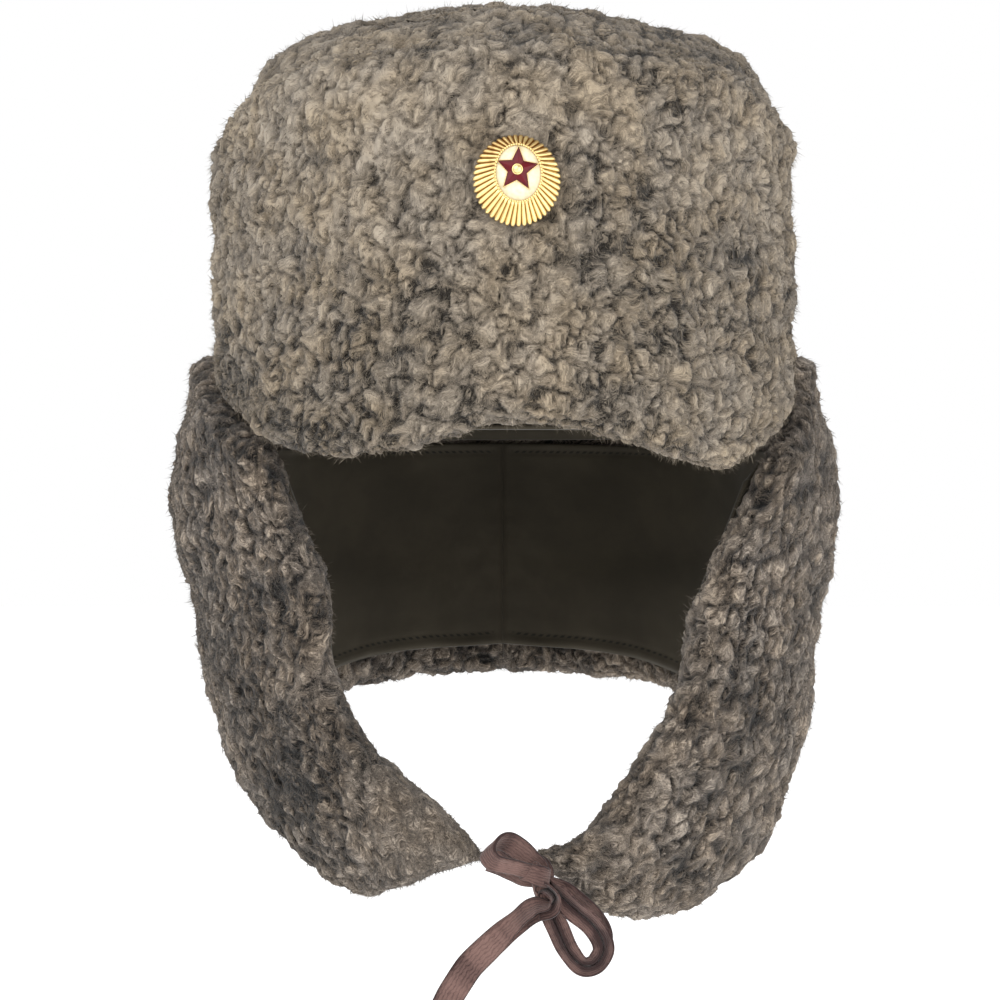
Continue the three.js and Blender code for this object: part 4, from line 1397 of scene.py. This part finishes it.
def pile_group():
    """Colour, roughness and bump height of curly pile from the values that growing left."""
    tree, given = new_group("sheared_pile", ["Shaded Pit", "Body", "Lit Tip"], ["Streaks"])
    height = own(tree, "lock_height")
    shade = own(tree, "lock_shade")
    run, side, mark = parts(own(tree, "lock_comb", "Vector"))
    place = object_place(tree)
    x, _, z = parts(place)
    across = (side + 0.3 * sine(1.5 * run)) * 1.9
    streak = noise(joined(0.36 * run, across, mark), 1.0, 3.0, 0.62)
    grain = noise(place, 1300.0, 3.0, 0.7)
    patch = noise(place, 28.0, 3.0, 0.5)
    warm = noise(place, 60.0, 2.0, 0.5)
    thread = ramp(streak, 0.3, 0.7, -0.5, 0.5)
    level = thread * given["Streaks"] + height
    level += 0.16 * (shade - 0.5) + 0.75 * (patch - 0.5) + 0.55 * (grain - 0.5)
    # Painted shade: darker towards the cap's foot and on its top.
    level -= zone(z, "painted_shade_foot") + zone(z, "top")
    lower = zone(z, "flaps")
    # Painted light on the wearer's right side of the crown and on the wearer's left flap.
    level += (1.0 - lower) * zone(x, "painted_light_crown_side") + lower * zone(x, "painted_light_flap_side")
    level += (zone(x, "tip_outside") - zone(x, "tip_inside")) * zone(z, "tip_drop")
    # Painted shade in the pits and painted light on the crests: the colour runs from the shaded pit through
    # the body to the lit tip as the lock rises.
    colour = blend(ramp(level, 0.14, 0.66), given["Shaded Pit"], given["Body"])
    colour = blend(ramp(level, 0.55, 1.2), colour, given["Lit Tip"])
    warmth = {"Saturation": ramp(warm, 0.3, 0.7, 0.95, 1.25), "Value": ramp(patch, 0.25, 0.75, 0.93, 1.07)}
    colour = Value(node("HueSaturation", {**warmth, "Color": colour})["Color"])
    return finish_group(tree, colour, ramp(level, 0.0, 1.0, 0.95, 0.78), 0.8 * thread + 0.8 * grain)


def fibre_group():
    """Colour of a loose fibre: painted shade at the root, down in the pile, and lighter towards the tip as
    painted light, by as much as its lock's tone allows.
    """
    tree, given = new_group("loose_fibre", ["Shaded Root", "Lit Tip"])
    shade = own(tree, "fibre_shade")
    share = ramp(own(tree, "fibre_along"), 0.0, 1.0) * ramp(shade, 0.1, 0.9, 0.45, 1.0)
    colour = blend(share, given["Shaded Root"], given["Lit Tip"])
    return finish_group(tree, colour, ramp(shade, 0.0, 1.0, 0.6, 0.75))


pile_tree = pile_group()
pile_shine = {"Specular IOR Level": 0.2, "Sheen Weight": 0.15, "Sheen Roughness": 0.5}
pile_material = new_material(
    "grey_sheepskin",
    pile_tree,
    {"Shaded Pit": (30, 26, 21), "Body": (120, 110, 97), "Lit Tip": (169, 157, 140), "Streaks": 0.55},
    pile_shine,
    bump=(0.6, 0.6),
)
# Painted shade: the ear flaps, which hang below the crown, get a darker copy of the same pile, with deeper
# pits.
shaded_flap_material = new_material(
    "shaded_flap_sheepskin",
    pile_tree,
    {"Shaded Pit": (15, 13, 11), "Body": (96, 87, 78), "Lit Tip": (172, 160, 146), "Streaks": 0.6},
    pile_shine,
    bump=(0.6, 0.6),
)
fibre_tree = fibre_group()
fibre_shine = {"Specular IOR Level": 0.3}
fibre_colours = {"Shaded Root": (66, 59, 50), "Lit Tip": (166, 154, 136)}
# The ear flaps' loose fibres get a darker copy too, as painted shade.
shaded_flap_fibre_colours = {"Shaded Root": (52, 46, 41), "Lit Tip": (146, 135, 122)}
fibre_material = new_material("loose_wool", fibre_tree, fibre_colours, fibre_shine)
shaded_flap_fibre_material = new_material("shaded_flap_loose_wool", fibre_tree, shaded_flap_fibre_colours, fibre_shine)

# %% [markdown]
# ### Cloth, tape, brass and enamel
# The lining is a plain smooth olive twill, darkened as painted shade. Its weave is finer than a picture
# element, so it shows as a soft grain, with darker stitching. The tape is ribbed lengthwise and greyed by
# handling, with painted shade in its rib grooves and between its plies. Brass is polished on its ridges,
# which carry a painted highlight, and brown in its grooves, with painted shade on its upper rays. Enamel
# is glossy over a faintly cloudy colour.

# %% Other materials
def cloth_group():
    """Twill with stitching: waves along both threads, a slow stain and a dark line of thread."""
    tree, given = new_group("lining_twill", ["Cloth", "Thread"], ["Wear"])
    x, y, stitched = parts(own(tree, "cloth_place", "Vector"))
    weave = 0.4 * sine(12.0 * (x - y)) + sine(9.0 * (x + y))
    slub = noise(joined(0.25 * x, 2.5 * y, 0.0), 1.0)
    stain = noise(joined(x, y, 0.0), 0.035, 4.0, 0.6)
    sewn = ramp(stitched, 0.45, 0.9) * ramp(sine(2.2 * (x + y)), -0.3, 0.3)
    value = 0.03 * weave + ramp(stain, 0.3, 0.7, 0.82, 1.1) + 0.16 * (slub - 0.5)
    cloth = Value(node("HueSaturation", {"Value": value, "Color": given["Cloth"]})["Color"])
    worn = ramp(stain, 0.4, 0.8) * given["Wear"]
    relief = 0.8 * sewn + 0.12 * weave + 0.5 * slub
    return finish_group(tree, blend(sewn, cloth, given["Thread"]), 0.72 - 0.2 * worn, relief)


def tape_group():
    """Ribbed cotton tape: ribs along it, fine threads across, dirt in patches, darker edges, and painted
    shade in the rib grooves and between the plies inside the fold.
    """
    tree, given = new_group("cotton_tape", ["Cotton", "Dirt and Shade"], ["Ribs"])
    x, y, face = parts(own(tree, "tape_place", "Vector"))
    rib = sine(5.2 * (x + 2.4 * noise(joined(x, y, 0.0), 0.35)))
    fuzz = noise(joined(4.0 * x, 0.6 * y, 0.0), 1.0, 4.0)
    dull = noise(joined(0.2 * x, y, 3.0), 0.11, 3.0)
    dirt_and_shade = 0.35 * ramp(abs(x), 3.2, 4.1) + ramp(dull, 0.35, 0.75, 0.0, 0.55)
    # Painted shade in the grooves between the ribs, and darker fuzz.
    dirt_and_shade += 0.28 * ramp(rib, 0.0, -1.0) + 0.3 * ramp(fuzz, 0.55, 0.3)
    # Painted shade between the plies, deepest towards the fold.
    dirt_and_shade += ramp(face, 0.5, 0.2) * ramp(x, -2.4, 1.6, 0.15, 0.95)
    colour = blend(dirt_and_shade, given["Cotton"], given["Dirt and Shade"])
    relief = rib * given["Ribs"] + 0.25 * sine(11.0 * y) + 1.1 * fuzz
    return finish_group(tree, colour, ramp(fuzz, 0.2, 0.8, 0.95, 0.8), relief)


def brass_group():
    """Stamped brass: bright on the ridges, partly polish and partly painted highlight, brown in the grooves
    and in the painted shade of the upper rays, with fine scratches.
    """
    tree, given = new_group("stamped_brass", ["Ridge Polish and Highlight", "Groove"])
    place = object_place(tree)
    grain = noise(place, 2600.0, 3.0, 0.6)
    polish_and_painted_light = own(tree, "relief") + 0.7 * (noise(place, 300.0, 4.0, 0.6) - 0.5)
    colour = blend(ramp(polish_and_painted_light, 0.1, 0.75), given["Groove"], given["Ridge Polish and Highlight"])
    return finish_group(tree, colour, ramp(polish_and_painted_light - grain, -0.6, 0.6, 0.5, 0.24), grain)


def enamel_group():
    """Fired enamel: faint clouds in the colour, darker towards its border."""
    tree, given = new_group("fired_enamel", ["Enamel", "Shade"])
    cloud = noise(object_place(tree), 700.0, 3.0, 0.5)
    share = 0.6 * ramp(own(tree, "relief"), 0.6, 1.0) + ramp(cloud, 0.35, 0.8, 0.0, 0.5)
    colour = blend(share, given["Enamel"], given["Shade"])
    return finish_group(tree, colour, ramp(cloud, 0.2, 0.8, 0.12, 0.24), cloud)


# The olive cloth is darkened further as painted shade, for the shade inside the cap.
lining_material = new_material(
    "shaded_olive_twill",
    cloth_group(),
    {"Cloth": (60, 54, 42), "Thread": (30, 27, 21), "Wear": 0.4},
    {"Specular IOR Level": 0.25, "Sheen Weight": 0.15},
    bump=(0.5, 0.12),
)
tape_material = new_material(
    "mauve_tape",
    tape_group(),
    {"Cotton": (124, 97, 90), "Dirt and Shade": (52, 36, 35), "Ribs": 0.8},
    {"Specular IOR Level": 0.2, "Sheen Weight": 0.2},
    bump=(0.6, 0.12),
)
brass_colours = {"Ridge Polish and Highlight": (242, 216, 152), "Groove": (138, 88, 28)}
brass_shine = {"Metallic": 1.0}
brass_material = new_material("badge_brass", brass_group(), brass_colours, brass_shine, bump=(0.12, 0.03))
enamel = enamel_group()
cream_material = new_material(
    "cream_enamel",
    enamel,
    {"Enamel": (236, 228, 204), "Shade": (212, 196, 152)},
    {"Coat Weight": 0.4, "Coat Roughness": 0.05},
    bump=(0.08, 0.03),
)
red_material = new_material(
    "crimson_enamel",
    enamel,
    {"Enamel": (98, 6, 20), "Shade": (70, 2, 11)},
    {"Coat Weight": 0.15, "Coat Roughness": 0.1, "Specular IOR Level": 0.2},
    bump=(0.08, 0.03),
)

# %% [markdown]
# ## Dressing the pieces
# Every piece gets its material and its body. The cap has a single body, as cloth and
# straps have no joints.

# %% Dress
dressing = [
    (fur_pieces[2:], pile_material, "fur"),
    (fur_pieces[:2], shaded_flap_material, "fur"),
    (fibre_pieces[2:], fibre_material, "fur"),
    (fibre_pieces[:2], shaded_flap_fibre_material, "fur"),
    (linings, lining_material, "lining"),
    ([tape_a, tape_b] + knot_pieces, tape_material, "tape"),
    (brass_pieces, brass_material, "badge_metal"),
    ([cream_piece], cream_material, "white_enamel"),
    ([red_piece], red_material, "crimson_enamel"),
]
for group_of_pieces, material, slot_name in dressing:
    for piece in group_of_pieces:
        piece.data.materials.clear()
        piece.data.materials.append(material)
        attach(piece, "root")
print("pieces dressed:", sum(len(entry[0]) for entry in dressing))

# %% [markdown]
# ## Studio
# The picture was lit softly from the front against white. A pale floor lies below the cap, and the sky
# is as white as the floor where the camera sees it, so that no horizon shows from any side. The sky's
# light on the cap is weaker than that.

# %% Stage
def area_light(name, place, target, size, power):
    """Square soft box at a place in mm that faces a target."""
    data = bpy.data.lights.new(name, "AREA")
    data.size = size * MM
    data.energy = power
    lamp = bpy.data.objects.new(name, data)
    lamp.location = np.array(place) * MM
    away = Vector(np.array(place, float) - np.array(target, float))
    lamp.rotation_euler = away.to_track_quat("Z", "Y").to_euler()
    bpy.context.collection.objects.link(lamp)


floor_height = -260.0
floor_reach = 6000.0
corners = np.array([[-1, -1], [1, -1], [1, 1], [-1, 1]]) * floor_reach
floor_points = np.column_stack([corners, np.full(4, floor_height)])
pale_floor = make_piece("pale_floor", floor_points, [np.arange(4).reshape(1, 4)], closed=False)
floor_material = bpy.data.materials.new("white_paper")
floor_material.use_nodes = True
floor_shader = floor_material.node_tree.nodes["Principled BSDF"]
paper = {"Base Color": (0.8, 0.8, 0.8, 1), "Roughness": 0.9}
paper |= {"Emission Color": (1, 1, 1, 1), "Emission Strength": 0.65}
for label, value in paper.items():
    floor_shader.inputs[label].default_value = value
pale_floor.data.materials.append(floor_material)

area_light("key", (-550, -1050, 720), (0, 0, 0), 1300, 11)
area_light("fill", (750, -1100, 150), (0, 0, -40), 1200, 8)
area_light("rim", (150, 700, 800), (0, 0, 60), 700, 2)
world = bpy.data.worlds.new("studio")
world.use_nodes = True
sky = world.node_tree.nodes["Background"]
sky.inputs["Color"].default_value = (1, 1, 1, 1)
seen = Value(node("LightPath", {}, world.node_tree)["Is Camera Ray"])
strength = node("MapRange", {"Value": seen, "To Min": 0.6, "To Max": 1.0})["Result"]
world.node_tree.links.new(strength, sky.inputs["Strength"])
bpy.context.scene.world = world
bpy.context.scene.view_settings.view_transform = "Standard"
